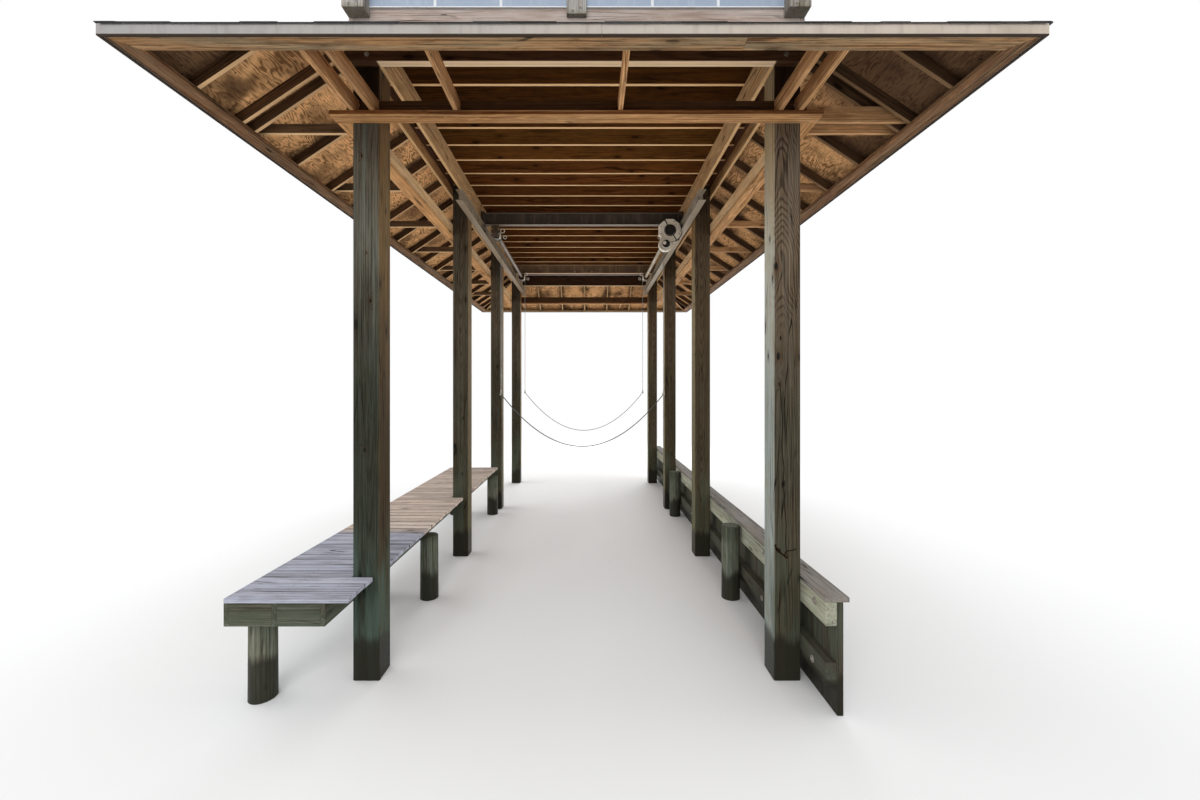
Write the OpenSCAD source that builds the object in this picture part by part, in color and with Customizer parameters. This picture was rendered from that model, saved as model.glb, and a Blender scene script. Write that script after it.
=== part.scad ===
// Open timber boathouse over a slip: square posts, a flat roof deck on joists and a hipped skirt roof all round.
// X is across the slip, +Y runs from the land end to the water end and Z is up from the water.
// The origin is at water level, in the middle of the eaves.

/* [Posts] */
// Clear width of the slip between the posts
slip_clear = 3500; // [3200:10:4200]
// Side of each square post
post_w = 235; // [180:5:280]
// First bay, from the front of one pair of posts to the front of the next
bay_1 = 3130; // [2700:10:3600]
// Second bay
bay_2 = 2880; // [2600:10:3400]
// Third bay
bay_3 = 2790; // [2500:10:3300]
// Height of the posts above the water
post_h = 5733; // [5600:1:6200]

/* [Framing timber] */
// Thickness of every plank and board on edge
board_t = 38; // [32:1:50]
// Depth of the front and rear headers and of the inner girders
header_h = 286; // [240:1:330]
// Planks side by side in a header
header_plies = 2; // [1:1:3]
// Depth of the outer girders, which carry the heads of the rafters
outer_girder_h = 140; // [120:1:160]
// Width of the flat plate round the posts
plate_w = 140; // [110:1:180]
// Depth of the board that stands on the flat plate
ledger_h = 140; // [90:1:184]
// Depth of the ties at the front and rear
end_tie_h = 140; // [89:1:160]
// Depth of the ties at the sides
side_tie_h = 89; // [70:1:140]

/* [Skirt roof] */
// Drop of the eaves below the tops of the posts
eave_drop = 784; // [740:1:820]
// Run of the rafters, from the eave in to the header or girder
overhang = 1045; // [900:5:1200]
// Rise of the roof for each millimetre of run
pitch = 0.67; // [0.6:0.01:0.7]
// Depth of the rafters
rafter_h = 89; // [80:1:110]
// Depth of the hip rafters
hip_h = 89; // [80:1:110]
// Spacing of the rafters, exact at the sides and about this at the ends
rafter_pitch = 648; // [550:1:700]
// Distance from the first rafter at the sides, next to the hip, to the start of that spacing
rafter_start = 152; // [120:1:300]
// Thickness left at the tip of each rafter, over the eave board
tail_t = 14; // [8:1:20]
// Width of the flat eave board
eave_board_w = 140; // [110:1:184]
// Height of the flat plate above the eave board
plate_rise = 50; // [38:1:80]
// Thickness of the sheathing
sheathing_t = 12; // [9:1:19]
// Thickness of the layer of shingles
shingle_t = 9; // [6:1:15]
// How far the shingles reach past the fascia
shingle_lip = 14; // [5:1:30]
// Thickness of the fascia
fascia_t = 20; // [15:1:30]
// How far the fascia hangs below the eave board
fascia_drop = 12; // [0:1:30]

/* [Roof deck] */
// Depth of the joists
joist_h = 235; // [184:1:286]
// Depth of the rims along the sides, which hang below the joists
side_rim_h = 286; // [240:1:300]
// Spacing of the joists
joist_pitch = 407; // [300:1:610]
// Distance of the first joist behind the edge of the deck at the front
first_joist = 297; // [150:1:400]
// Height of the pale band above the joists
band_h = 140; // [90:1:200]
// Thickness of the pale band
band_t = 16; // [10:1:25]

/* [Guard] */
// Height of the guard above the deck
guard_h = 1067; // [900:1:1200]
// Width of a corner post of the guard
corner_w = 190; // [150:5:230]
// Depth of a corner post in front of the rim
corner_d = 130; // [110:1:160]
// Width of the posts between the corners
mid_post_w = 174; // [120:2:200]
// Depth of the posts between the corners
mid_post_d = 52; // [38:1:70]
// How far the guard posts reach below the top of the joists
guard_drop = 87; // [50:1:110]
// Widest spacing of the guard posts
guard_bay = 2300; // [1500:50:3000]
// Side of a baluster
baluster_w = 35; // [25:1:45]
// Clear gap between balusters
baluster_gap = 95; // [70:1:110]
// Width of the top rail
rail_w = 140; // [90:1:160]
// Height of the two rails that hold the balusters
subrail_h = 64; // [45:1:90]

/* [Boat lift] */
// Height of the beams along the slip
lift_beam_h = 152; // [120:1:180]
// Width of the flanges of those beams
lift_beam_w = 100; // [80:1:130]
// Drop of the underside of those beams below the tops of the posts
lift_beam_drop = 509; // [450:1:600]
// How far those beams reach in front of the first cross beam
lift_front = 1430; // [600:10:1600]
// How far those beams reach past the rear posts
lift_rear = 225; // [50:5:400]
// Height of the two beams across the slip
cross_beam_h = 203; // [150:1:230]
// Width of the flanges of those beams
cross_beam_w = 102; // [80:1:130]
// Thickness of the steel in all four beams
steel_t = 8; // [5:1:12]
// Distance of the first cross beam behind the front posts
cross_beam_1 = 3860; // [3500:10:4300]
// Distance of the second cross beam behind the first
cross_beam_2 = 3430; // [2800:10:3700]
// Diameter of the winding shafts
shaft_d = 64; // [40:1:80]
// Distance of the shafts from the middle of the slip
shaft_x = 1480; // [1380:5:1520]
// Drop of the shafts below the cross beams
shaft_drop = 126; // [90:1:150]
// Diameter of the rope drums
drum_d = 130; // [90:2:150]
// Length of the rope drums
drum_l = 180; // [120:5:260]
// Diameter of the wire ropes
rope_d = 10; // [8:1:16]
// Height of the lower ends of the wire ropes above the water
rope_end_z = 2500; // [2300:10:3500]
// Sag of the slings between their ends
sling_sag = 910; // [700:10:1000]
// Width of the slings
sling_w = 75; // [50:1:100]
// Thickness of the slings
sling_t = 6; // [4:1:10]

/* [Walkway] */
// Height of the walkway above the water
walk_z = 930; // [800:5:1100]
// Distance of the walkway's inner edge from the middle of the slip
walk_x = 1800; // [1780:5:1900]
// Width of the walkway
walk_w = 990; // [900:5:1200]
// How far the walkway starts in front of the first post
walk_front = 450; // [300:10:800]
// Gap between the far end of the walkway and the third posts
walk_gap = 210; // [100:10:600]
// Depth of the walkway's stringers
stringer_h = 184; // [140:1:235]
// Diameter of the round piles
pile_d = 224; // [180:1:225]
// Depth of the pile heads below the walkway
pile_head_drop = 150; // [100:5:300]

/* [Bulkhead] */
// Height of the bulkhead above the water
bulkhead_z = 940; // [800:5:1100]
// How far the bulkhead runs past the front and rear posts
bulkhead_past = 450; // [200:10:700]
// Depth and thickness of the walers
waler_h = 190; // [140:1:240]
// Thickness of the walers
waler_t = 90; // [60:1:120]
// Height of the lower waler above the water
low_waler_z = 230; // [150:5:350]
// Width of the sheet planks
sheet_w = 240; // [200:5:300]
// Thickness of the sheet planks
sheet_t = 50; // [38:1:75]
// Distance of the second bulkhead pile in front of the third posts
bulkhead_pile_gap = 510; // [300:10:900]
// Width of the cap plank
cap_w = 190; // [140:1:240]

/* [Hidden] */
$fn = 48;
inner_x = slip_clear / 2;
outer_x = inner_x + post_w;
row_l = bay_1 + bay_2 + bay_3 + post_w;
row_y = row_l / 2;
post_y = [-row_y, -row_y + bay_1, -row_y + bay_1 + bay_2, row_y - post_w];
header_t = header_plies * board_t;
header_z = post_h - header_h;
girder_x = outer_x + board_t;
face_y = row_y + header_t;
half_w = girder_x + overhang;
half_l = face_y + overhang;

slope = atan(pitch);
eave_top_z = post_h - eave_drop;
eave_board_z = eave_top_z - tail_t - board_t;
eave_board_top = eave_board_z + board_t;
plate_z = eave_board_z + plate_rise;
plate_top = plate_z + board_t;
rafter_plumb = rafter_h / cos(slope);
hip_plumb = hip_h / cos(atan(pitch / sqrt(2)));
sheathing_plumb = sheathing_t / cos(slope);
shingle_plumb = shingle_t / cos(slope);
hip_side = board_t / 2 * sqrt(2);
jack_step = 488;
tie_gap = 93;
post_tie_gap = 46;
inner_tie_gap = 223;

deck_x = girder_x;
deck_y = row_y;
joist_top = post_h + joist_h;
side_rim_z = joist_top - side_rim_h;
deck_top = joist_top + board_t;
guard_top = deck_top + guard_h;
guard_foot = joist_top - guard_drop;

lift_beam_z = post_h - lift_beam_drop;
lift_beam_top = lift_beam_z + lift_beam_h;
cross_beam_top = lift_beam_top + cross_beam_h;
cross_y = [-row_y + cross_beam_1, -row_y + cross_beam_1 + cross_beam_2];
shaft_z = lift_beam_top - shaft_drop;
hanger_t = 12;
hanger_w = 140;
drum_offset = cross_beam_w / 2 + drum_l / 2;
drum_y = [cross_y[0] + cross_beam_w / 2 + drum_offset, cross_y[1] + cross_beam_w / 2 - drum_offset];
rope_x = shaft_x - drum_d / 2 - rope_d / 2;
sling_steps = 40;
beam_play = 6;

cover_r = 205;
cover_t = 60;
pulley_d = 163;
motor_d = 165;
motor_l = 150;
motor_drop = 235;
motor_shift = 75;
motor_ring = 34;
motor_cap_t = 40;
pulley_t = 45;

walk_out = walk_x + walk_w;
walk_y = -row_y - walk_front;
walk_end = post_y[2] - walk_gap;
walk_under = walk_z - board_t;
notch_play = 6;
pile_shift = 135;
pile_play = 20;
bulkhead_half_l = row_y + bulkhead_past;
cap_t = 40;
sheet_gap = 4;
waler_top = bulkhead_z - cap_t;

// Shared shapes
module slab(lo, hi) {
  translate(lo) cube(hi - lo);
}

module both_sides() {
  children();
  mirror([1, 0, 0]) children();
}

module both_ends() {
  children();
  mirror([0, 1, 0]) children();
}

// The four slopes share one frame: x along the eave, y from the eave inwards
module on_front() {
  translate([0, -half_l, 0]) children();
}

module on_rear() {
  translate([0, half_l, 0]) rotate([0, 0, 180]) children();
}

module on_right() {
  translate([half_w, 0, 0]) rotate([0, 0, 90]) children();
}

module on_left() {
  translate([-half_w, 0, 0]) rotate([0, 0, -90]) children();
}

// An outline of run and height, given a thickness along the eave about the place u
module across_slope(u, thick) {
  translate([u - thick / 2, 0, 0])
    rotate([90, 0, 90]) linear_extrude(thick) children();
}

function roof_z(run) = eave_top_z + pitch * run;

// Posts
module post_pair(y) {
  color("#6f675a") both_sides() slab([inner_x, y, 0], [outer_x, y + post_w, post_h]);
}

module front_posts() {
  post_pair(post_y[0]);
}

module second_posts() {
  post_pair(post_y[1]);
}

module third_posts() {
  post_pair(post_y[2]);
}

module rear_posts() {
  post_pair(post_y[3]);
}

// Headers and girders
module header() {
  slab([-girder_x, -face_y, header_z], [girder_x, -row_y, post_h]);
}

module front_header() {
  color("#8a6844") header();
}

module rear_header() {
  color("#8a6844") mirror([0, 1, 0]) header();
}

module inner_girders() {
  color("#9a7750") both_sides()
    slab([inner_x - board_t, -row_y, header_z], [inner_x, row_y, post_h]);
}

module outer_girders() {
  color("#a98352") both_sides()
    slab([outer_x, -row_y, side_rim_z - outer_girder_h], [girder_x, row_y, side_rim_z]);
}

// A flat plate round the posts with a board on edge standing on it
module ring_beam() {
  plate_x = outer_x + plate_w;
  color("#b08a58") {
    both_ends() {
      slab([-plate_x, -row_y - plate_w, plate_z], [plate_x, -row_y, plate_top]);
      slab([-girder_x, -row_y - board_t, plate_top], [girder_x, -row_y, plate_top + ledger_h]);
    }
    both_sides() {
      slab([outer_x, -row_y, plate_z], [plate_x, row_y, plate_top]);
      slab([outer_x, -row_y, plate_top], [girder_x, row_y, plate_top + ledger_h]);
    }
  }
}

// Rafters
function end_rafter(half) = half - overhang - hip_side - board_t / 2;

// Places of the common rafters at the front and rear, evenly spaced between the two next to the hips
function end_places() =
  let (last = end_rafter(half_w), bays = round(2 * last / rafter_pitch))
  [for (i = [0:bays]) -last + 2 * last * i / bays];

// Places of those at the sides, set out from the front at their exact spacing, with one next to each hip
function side_places() =
  let (last = end_rafter(half_l))
  concat(-last, [for (u = [-last + rafter_start:rafter_pitch:last - 3 * board_t]) u], last);

module rafter_outline() {
  seat = (rafter_plumb - tail_t) / pitch;
  polygon([
    [0, eave_board_top], [seat, eave_board_top], [overhang, roof_z(overhang) - rafter_plumb],
    [overhang, roof_z(overhang)], [0, eave_top_z]
  ]);
}

// The plan of one slope between the side faces of its two hip rafters
module between_hips(half) {
  outer = half - hip_side;
  inner = outer - overhang;
  linear_extrude(guard_top)
    polygon([[-outer, 0], [outer, 0], [inner, overhang], [-inner, overhang]]);
}

module slope_rafters(half, places) {
  last = end_rafter(half);
  for (u = places) across_slope(u, board_t) rafter_outline();
  intersection() {
    for (u = [-last - jack_step, last + jack_step]) across_slope(u, board_t) rafter_outline();
    between_hips(half);
  }
}

module rafters_front() {
  color("#a17a4c") on_front() slope_rafters(half_w, end_places());
}

module rafters_rear() {
  color("#a17a4c") on_rear() slope_rafters(half_w, end_places());
}

module rafters_left() {
  mirror([1, 0, 0]) rafters_right();
}

module rafters_right() {
  color("#a17a4c") on_right() slope_rafters(half_l, side_places());
}

// A hip rafter's top is dropped so that its edges meet the sheathing
module hip_outline() {
  edge = board_t / 2;
  end = (overhang + board_t) * sqrt(2);
  hip_pitch = pitch / sqrt(2);
  seat = edge + (hip_plumb - tail_t) / hip_pitch;
  top = eave_top_z + hip_pitch * (end - edge);
  polygon([
    [edge, eave_board_top], [seat, eave_board_top], [end, top - hip_plumb], [end, top], [edge, eave_top_z]
  ]);
}

module hip_rafters() {
  color("#9a7448") both_sides() both_ends() difference() {
    translate([-half_w, -half_l, 0])
      rotate([0, 0, 45]) translate([0, board_t / 2, 0]) rotate([90, 0, 0]) linear_extrude(board_t) hip_outline();
    slab([-girder_x, -face_y, 0], [girder_x, 0, guard_top]);
  }
}

// Level ties from the ring beam out to the underside of the roof
module tie_outline(tie_h, inner_run) {
  low = (plate_top - eave_top_z) / pitch;
  high = (plate_top + tie_h - eave_top_z) / pitch;
  polygon([
    [low, plate_top], [inner_run, plate_top], [inner_run, plate_top + tie_h], [high, plate_top + tie_h]
  ]);
}

module end_ties() {
  places = end_places();
  last = end_rafter(half_w);
  for (u = [-last + post_tie_gap, -last + inner_tie_gap, places[1] + 3 * tie_gap,
      places[len(places) - 3] - 3 * tie_gap, last - inner_tie_gap, last - post_tie_gap])
    across_slope(u, board_t) tie_outline(end_tie_h, overhang + header_t - board_t);
}

// One beside every other rafter
module side_ties() {
  places = side_places();
  for (i = [1:2:len(places) - 2])
    across_slope(places[i] + tie_gap + board_t, board_t) tie_outline(side_tie_h, overhang);
}

// A deeper tie at the front right, in line with the end of the ring beam
module corner_tie() {
  across_slope(tie_gap - end_rafter(half_l), board_t) tie_outline(end_tie_h, overhang);
}

module eave_ties() {
  color("#b18c5c") {
    on_front() end_ties();
    on_rear() end_ties();
    both_sides() on_right() side_ties();
    on_right() corner_tie();
  }
}

// Flat boards round the eaves and the fascia on their edge
module eave_ring(out, width, z_low, z_high) {
  translate([0, 0, z_low]) linear_extrude(z_high - z_low) difference() {
    square([2 * (half_w + out), 2 * (half_l + out)], center = true);
    square([2 * (half_w + out - width), 2 * (half_l + out - width)], center = true);
  }
}

module eave_boards() {
  color("#a5824f") eave_ring(0, eave_board_w, eave_board_z, eave_board_top);
}

module eave_fascia() {
  color("#d9d4c8") eave_ring(fascia_t, fascia_t, eave_board_z - fascia_drop, eave_top_z + sheathing_plumb);
}

// One slope of a roof layer, mitred at the hips
module between_mitres(half, lip) {
  intersection() {
    children();
    linear_extrude(guard_top) polygon([
      [-half - lip, -lip], [half + lip, -lip], [half - overhang, overhang], [overhang - half, overhang]
    ]);
  }
}

module sheathing_slope(half) {
  end = roof_z(overhang);
  color("#8f6d45") between_mitres(half, 0) across_slope(0, 2 * half) polygon([
    [0, eave_top_z], [overhang, end], [overhang, end + sheathing_plumb], [0, eave_top_z + sheathing_plumb]
  ]);
}

module sheathing_front() {
  on_front() sheathing_slope(half_w);
}

module sheathing_rear() {
  on_rear() sheathing_slope(half_w);
}

module sheathing_left() {
  on_left() sheathing_slope(half_l);
}

module sheathing_right() {
  on_right() sheathing_slope(half_l);
}

module shingle_slope(half) {
  lip = fascia_t + shingle_lip;
  rise = sheathing_plumb + pitch * fascia_t + shingle_plumb;
  end = roof_z(overhang);
  between_mitres(half, lip) across_slope(0, 2 * (half + lip)) polygon([
    [-lip, eave_top_z + sheathing_plumb], [0, eave_top_z + sheathing_plumb],
    [overhang, end + sheathing_plumb], [overhang, end + rise], [-lip, roof_z(-lip) + rise]
  ]);
}

module roof_shingles() {
  color("#2c2b2b") {
    on_front() shingle_slope(half_w);
    on_rear() shingle_slope(half_w);
    on_left() shingle_slope(half_l);
    on_right() shingle_slope(half_l);
  }
}

// Roof deck, its joists framed into a rim all round
module deck_frame() {
  first = -deck_y + first_joist;
  color("#5b4029") {
    both_sides() slab([outer_x, -deck_y, side_rim_z], [deck_x, deck_y, joist_top]);
    both_ends() slab([-outer_x - 1, -deck_y, post_h], [outer_x + 1, board_t - deck_y, joist_top]);
    for (y = [first:joist_pitch:deck_y - 2 * board_t])
      slab([-outer_x - 1, y - board_t / 2, post_h], [outer_x + 1, y + board_t / 2, joist_top]);
  }
}

module deck_floor() {
  color("#7b6a57") slab([-deck_x, -deck_y, joist_top], [deck_x, deck_y, deck_top]);
}

module rim_band() {
  color("#aab4c0") translate([0, 0, joist_top]) linear_extrude(band_h) difference() {
    square([2 * (deck_x + band_t), 2 * (deck_y + band_t)], center = true);
    square([2 * deck_x, 2 * deck_y], center = true);
    guard_plan();
  }
}

// Guard posts, bolted to the rim
function guard_bays(half) = ceil(2 * half / guard_bay);

function guard_places(half) =
  let (bays = guard_bays(half))
  [for (i = [1:bays - 1]) -half + 2 * half * i / bays];

module corner_plan() {
  translate([-deck_x, -deck_y - corner_d]) square([corner_w, corner_d]);
}

module guard_plan() {
  for (sx = [0, 1], sy = [0, 1]) mirror([sx, 0]) mirror([0, sy]) corner_plan();
  for (x = guard_places(deck_x), sy = [0, 1])
    mirror([0, sy]) translate([x - mid_post_w / 2, -deck_y - mid_post_d]) square([mid_post_w, mid_post_d]);
  for (y = guard_places(deck_y), sx = [0, 1])
    mirror([sx, 0]) translate([-deck_x - mid_post_d, y - mid_post_w / 2]) square([mid_post_d, mid_post_w]);
}

module guard_posts() {
  color("#c9bfb4") translate([0, 0, guard_foot]) linear_extrude(guard_top - rail_t() - guard_foot) guard_plan();
}

function rail_t() = board_t;

// A panel of balusters between two posts, along x, with its outer face on y = 0
module guard_panel(x0, x1) {
  low_z = deck_top + band_h - board_t + baluster_w;
  high_z = guard_top - rail_t() - subrail_h;
  count = floor((x1 - x0 - baluster_gap) / (baluster_w + baluster_gap));
  step = (x1 - x0 + baluster_w) / (count + 1);
  slab([x0, 0, low_z], [x1, board_t, low_z + subrail_h]);
  slab([x0, 0, high_z], [x1, board_t, high_z + subrail_h]);
  for (i = [1:count])
    slab([x0 - baluster_w + i * step, 0, low_z + subrail_h - 1],
      [x0 + i * step, baluster_w, high_z + 1]);
}

// The front and rear have a panel from post to post
module guard_end() {
  corner = deck_x - corner_w;
  places = guard_places(deck_x);
  bays = guard_bays(deck_x);
  inset = deck_y + (mid_post_d + board_t) / 2;
  starts = [for (i = [0:bays - 1]) i == 0 ? -corner : places[i - 1] + mid_post_w / 2];
  ends = [for (i = [0:bays - 1]) i == bays - 1 ? corner : places[i] - mid_post_w / 2];
  color("#c4b8a8") {
    for (i = [0:bays - 1]) translate([0, -inset, 0]) guard_panel(starts[i], ends[i]);
    slab([-deck_x, -deck_y - corner_d, guard_top - rail_t()],
      [deck_x, -deck_y - corner_d + rail_w, guard_top]);
  }
}

module guard_front() {
  guard_end();
}

module guard_rear() {
  mirror([0, 1, 0]) guard_end();
}

// Each side has one long panel that passes inside its posts
module guard_flank() {
  rail_out = deck_x + mid_post_d;
  rail_end = deck_y + corner_d - rail_w;
  color("#c4b8a8") {
    translate([-deck_x, 0, 0]) mirror([1, 0, 0]) rotate([0, 0, 90]) guard_panel(-deck_y, deck_y);
    slab([-rail_out, -rail_end, guard_top - rail_t()], [rail_w - rail_out, rail_end, guard_top]);
  }
}

module guard_left() {
  guard_flank();
}

module guard_right() {
  mirror([1, 0, 0]) guard_flank();
}

// Boat lift
module i_outline(width, height) {
  translate([-width / 2, 0]) square([width, steel_t]);
  translate([-width / 2, height - steel_t]) square([width, steel_t]);
  translate([-steel_t / 2, 0]) square([steel_t, height]);
}

module lift_beam() {
  start = cross_y[0] - lift_front;
  end = row_y + lift_rear;
  color("#9aa09c") translate([inner_x - lift_beam_w / 2, end, lift_beam_z])
    rotate([90, 0, 0]) linear_extrude(end - start) i_outline(lift_beam_w, lift_beam_h);
}

module lift_beam_left() {
  mirror([1, 0, 0]) lift_beam();
}

module lift_beam_right() {
  lift_beam();
}

module cross_beams() {
  end_x = inner_x - board_t - beam_play;
  color("#4a4c4c") for (y = cross_y)
    translate([-end_x, y + cross_beam_w / 2, lift_beam_top])
      rotate([90, 0, 90]) linear_extrude(2 * end_x) i_outline(cross_beam_w, cross_beam_h);
}

module along_y(d, y0, y1) {
  translate([0, y1, 0]) rotate([90, 0, 0]) cylinder(d = d, h = y1 - y0);
}

module drive_shafts() {
  y0 = cross_y[0] + cross_beam_w / 2;
  y1 = cross_y[1] + cross_beam_w / 2;
  color("#b9b5a6") both_sides() {
    translate([shaft_x, 0, shaft_z]) {
      along_y(shaft_d, y0 - hanger_w / 2, y1 + hanger_w / 2);
      for (y = drum_y) along_y(drum_d, y - drum_l / 2 + hanger_t, y + drum_l / 2);
    }
    for (y = [y0, y1])
      slab([shaft_x - hanger_w / 2, y - hanger_t / 2, shaft_z - shaft_d],
        [shaft_x + hanger_w / 2, y + hanger_t / 2, lift_beam_top]);
  }
}

// The drive's cover, an octagon with a round lobe for the motor, on the end of the right-hand shaft
cover_back = cross_y[0] + cross_beam_w / 2 - hanger_w / 2;
cover_front = cover_back - cover_t;

module cover_outline() {
  rotate(22.5) circle(r = cover_r, $fn = 8);
  translate([-motor_shift, -motor_drop]) circle(d = motor_d + 2 * motor_ring);
  translate([-motor_shift - motor_d / 2, -motor_drop]) square([motor_d, motor_drop]);
}

module drive_cover() {
  color("#cfc8b4") translate([shaft_x, cover_back, shaft_z])
    rotate([90, 0, 0]) linear_extrude(cover_t) cover_outline();
}

module drive_motor() {
  color("#3c3d3c") {
    translate([shaft_x, 0, shaft_z]) along_y(pulley_d, cover_front - pulley_t, cover_front);
    translate([shaft_x - motor_shift, 0, shaft_z - motor_drop]) {
      along_y(motor_d, cover_front - motor_cap_t, cover_front);
      along_y(motor_d, cover_back, cover_back + motor_l);
    }
  }
}

module lift_ropes() {
  color("#8b8b85") both_sides() for (y = drum_y)
    translate([rope_x, y, rope_end_z]) cylinder(d = rope_d, h = shaft_z - rope_end_z);
}

// A sling hangs between two ropes in a parabola
function sling_z(x) = rope_end_z - sling_sag * (1 - pow(x / rope_x, 2));

module sling(y) {
  xs = [for (i = [0:sling_steps]) rope_x * (2 * i / sling_steps - 1)];
  upper = [for (x = xs) [x, sling_z(x)]];
  lower = [for (i = [sling_steps:-1:0])
      let (x = xs[i], turn = atan(2 * sling_sag * x / pow(rope_x, 2)))
      [x + sling_t * sin(turn), sling_z(x) - sling_t * cos(turn)]];
  color("#262626") translate([0, y + sling_w / 2, 0]) rotate([90, 0, 0])
    linear_extrude(sling_w) polygon(concat(upper, lower));
}

module front_sling() {
  sling(drum_y[0]);
}

module rear_sling() {
  sling(drum_y[1]);
}

// Walkway along the left of the slip, notched round the posts
module walkway_deck() {
  color("#9b948a") difference() {
    slab([-walk_out, walk_y, walk_under], [-walk_x, walk_end, walk_z]);
    for (y = post_y)
      slab([-outer_x - notch_play, y - notch_play, walk_under - 1],
        [-walk_x + 1, y + post_w + notch_play, walk_z + 1]);
  }
}

stringer_z = walk_under - stringer_h;

module walkway_frame() {
  outer_line = walk_out - board_t;
  mid_line = (outer_x + outer_line) / 2;
  color("#77705f") {
    for (x = [outer_x, mid_line, outer_line])
      slab([-x - board_t, walk_y, stringer_z], [-x, walk_end, walk_under]);
    for (y = [walk_y, post_y[0], post_y[1] + post_w, (walk_end + post_y[1]) / 2, walk_end - board_t])
      slab([-outer_line, y, stringer_z], [-outer_x, y + board_t, walk_under]);
  }
}

pile_y = [post_y[0] + bay_1 / 2 + pile_shift, walk_end - board_t - pile_d / 2 - pile_play];

module pile(x, y, top) {
  translate([x, y, 0]) cylinder(d = pile_d, h = top);
}

module walkway_piles() {
  inner = outer_x - pile_d / 2;
  outer = walk_out - board_t - pile_d / 2;
  color("#7d7563") {
    for (y = pile_y) pile(-inner, y, walk_z - pile_head_drop);
    for (y = concat((walk_y + post_y[0] + board_t) / 2, pile_y)) pile(-outer, y, walk_z - pile_head_drop);
  }
}

// Timber bulkhead along the right of the slip
module bulkhead_sheet() {
  sheet_x = outer_x + waler_t;
  count = round(2 * bulkhead_half_l / (sheet_w + sheet_gap));
  step = 2 * bulkhead_half_l / count;
  color("#6d6252") {
    slab([sheet_x + sheet_gap, -bulkhead_half_l, 0], [sheet_x + sheet_t, bulkhead_half_l, waler_top]);
    for (i = [0:count - 1])
      slab([sheet_x, -bulkhead_half_l + i * step, 0],
        [sheet_x + sheet_t, -bulkhead_half_l + (i + 1) * step - sheet_gap, waler_top]);
  }
}

module bulkhead_walers() {
  color("#8b8b66") {
    for (z = [low_waler_z, waler_top - waler_h])
      slab([outer_x, -bulkhead_half_l, z], [outer_x + waler_t, bulkhead_half_l, z + waler_h]);
    slab([outer_x, -bulkhead_half_l, waler_top], [outer_x + cap_w, bulkhead_half_l, bulkhead_z]);
  }
}

module bulkhead_piles() {
  color("#4d4a38") for (y = [pile_y[0], post_y[2] - bulkhead_pile_gap])
    pile(outer_x - pile_d / 2, y, waler_top);
}

front_posts();
second_posts();
third_posts();
rear_posts();
front_header();
rear_header();
inner_girders();
outer_girders();
ring_beam();
eave_ties();
rafters_front();
rafters_rear();
rafters_left();
rafters_right();
hip_rafters();
eave_boards();
eave_fascia();
sheathing_front();
sheathing_rear();
sheathing_left();
sheathing_right();
roof_shingles();
deck_frame();
deck_floor();
rim_band();
guard_posts();
guard_front();
guard_rear();
guard_left();
guard_right();
lift_beam_left();
lift_beam_right();
cross_beams();
drive_shafts();
drive_cover();
drive_motor();
lift_ropes();
front_sling();
rear_sling();
walkway_deck();
walkway_frame();
walkway_piles();
bulkhead_sheet();
bulkhead_walers();
bulkhead_piles();
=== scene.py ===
import math
import random

import bmesh
import bpy
import numpy as np
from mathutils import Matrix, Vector


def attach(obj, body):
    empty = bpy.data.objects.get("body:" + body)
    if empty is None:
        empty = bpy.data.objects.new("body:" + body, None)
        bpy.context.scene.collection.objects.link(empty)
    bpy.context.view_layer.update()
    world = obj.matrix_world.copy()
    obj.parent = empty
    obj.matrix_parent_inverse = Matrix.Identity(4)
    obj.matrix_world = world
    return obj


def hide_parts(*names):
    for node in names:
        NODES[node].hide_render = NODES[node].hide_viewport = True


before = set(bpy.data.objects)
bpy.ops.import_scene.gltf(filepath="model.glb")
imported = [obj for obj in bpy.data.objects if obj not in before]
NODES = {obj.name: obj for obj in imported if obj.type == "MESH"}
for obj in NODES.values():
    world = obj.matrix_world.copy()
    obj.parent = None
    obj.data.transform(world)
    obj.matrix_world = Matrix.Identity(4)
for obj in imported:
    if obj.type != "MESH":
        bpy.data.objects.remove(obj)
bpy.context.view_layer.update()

# Sizes in millimetres, as in the part's own frame: x across the slip, y towards the water, z up.
INNER = 1750
POST = 235
OUTER = INNER + POST
BAYS = (3130, 2880, 2790)
ROW = (sum(BAYS) + POST) / 2
POST_Y = [-ROW, -ROW + BAYS[0], -ROW + BAYS[0] + BAYS[1], ROW - POST]
POST_H = 5733
PLANK = 38
HEADER_H = 286
OUTER_GIRDER_H = 140
PLATE_W = 140
LEDGER_H = 140
OVERHANG = 1045
EAVE_DROP = 784
PITCH = 0.67
RAFTER_H = 89
HIP_H = 89
RAFTER_PITCH = 648
RAFTER_START = 152
JACK_STEP = 488
TAIL = 14
EAVE_W = 140
FASCIA = 20
PLATE_RISE = 50
SHEATHING = 12
JOIST_H = 235
SIDE_RIM_H = 286
JOIST_PITCH = 407
FIRST_JOIST = 297
GUARD_H = 1067
WALK_Z = 930
WALK_X = 1800
WALK_W = 990
WALK_FRONT = 450
WALK_GAP = 210
WALK_BOARD = 145
STRINGER = 184
PILE = 224
BULK_Z = 940
BULK_CAP = 40
WALER_H = 190
WALER_T = 90
LOW_WALER = 230
SHEET_W = 244
SHEET_T = 50

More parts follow.
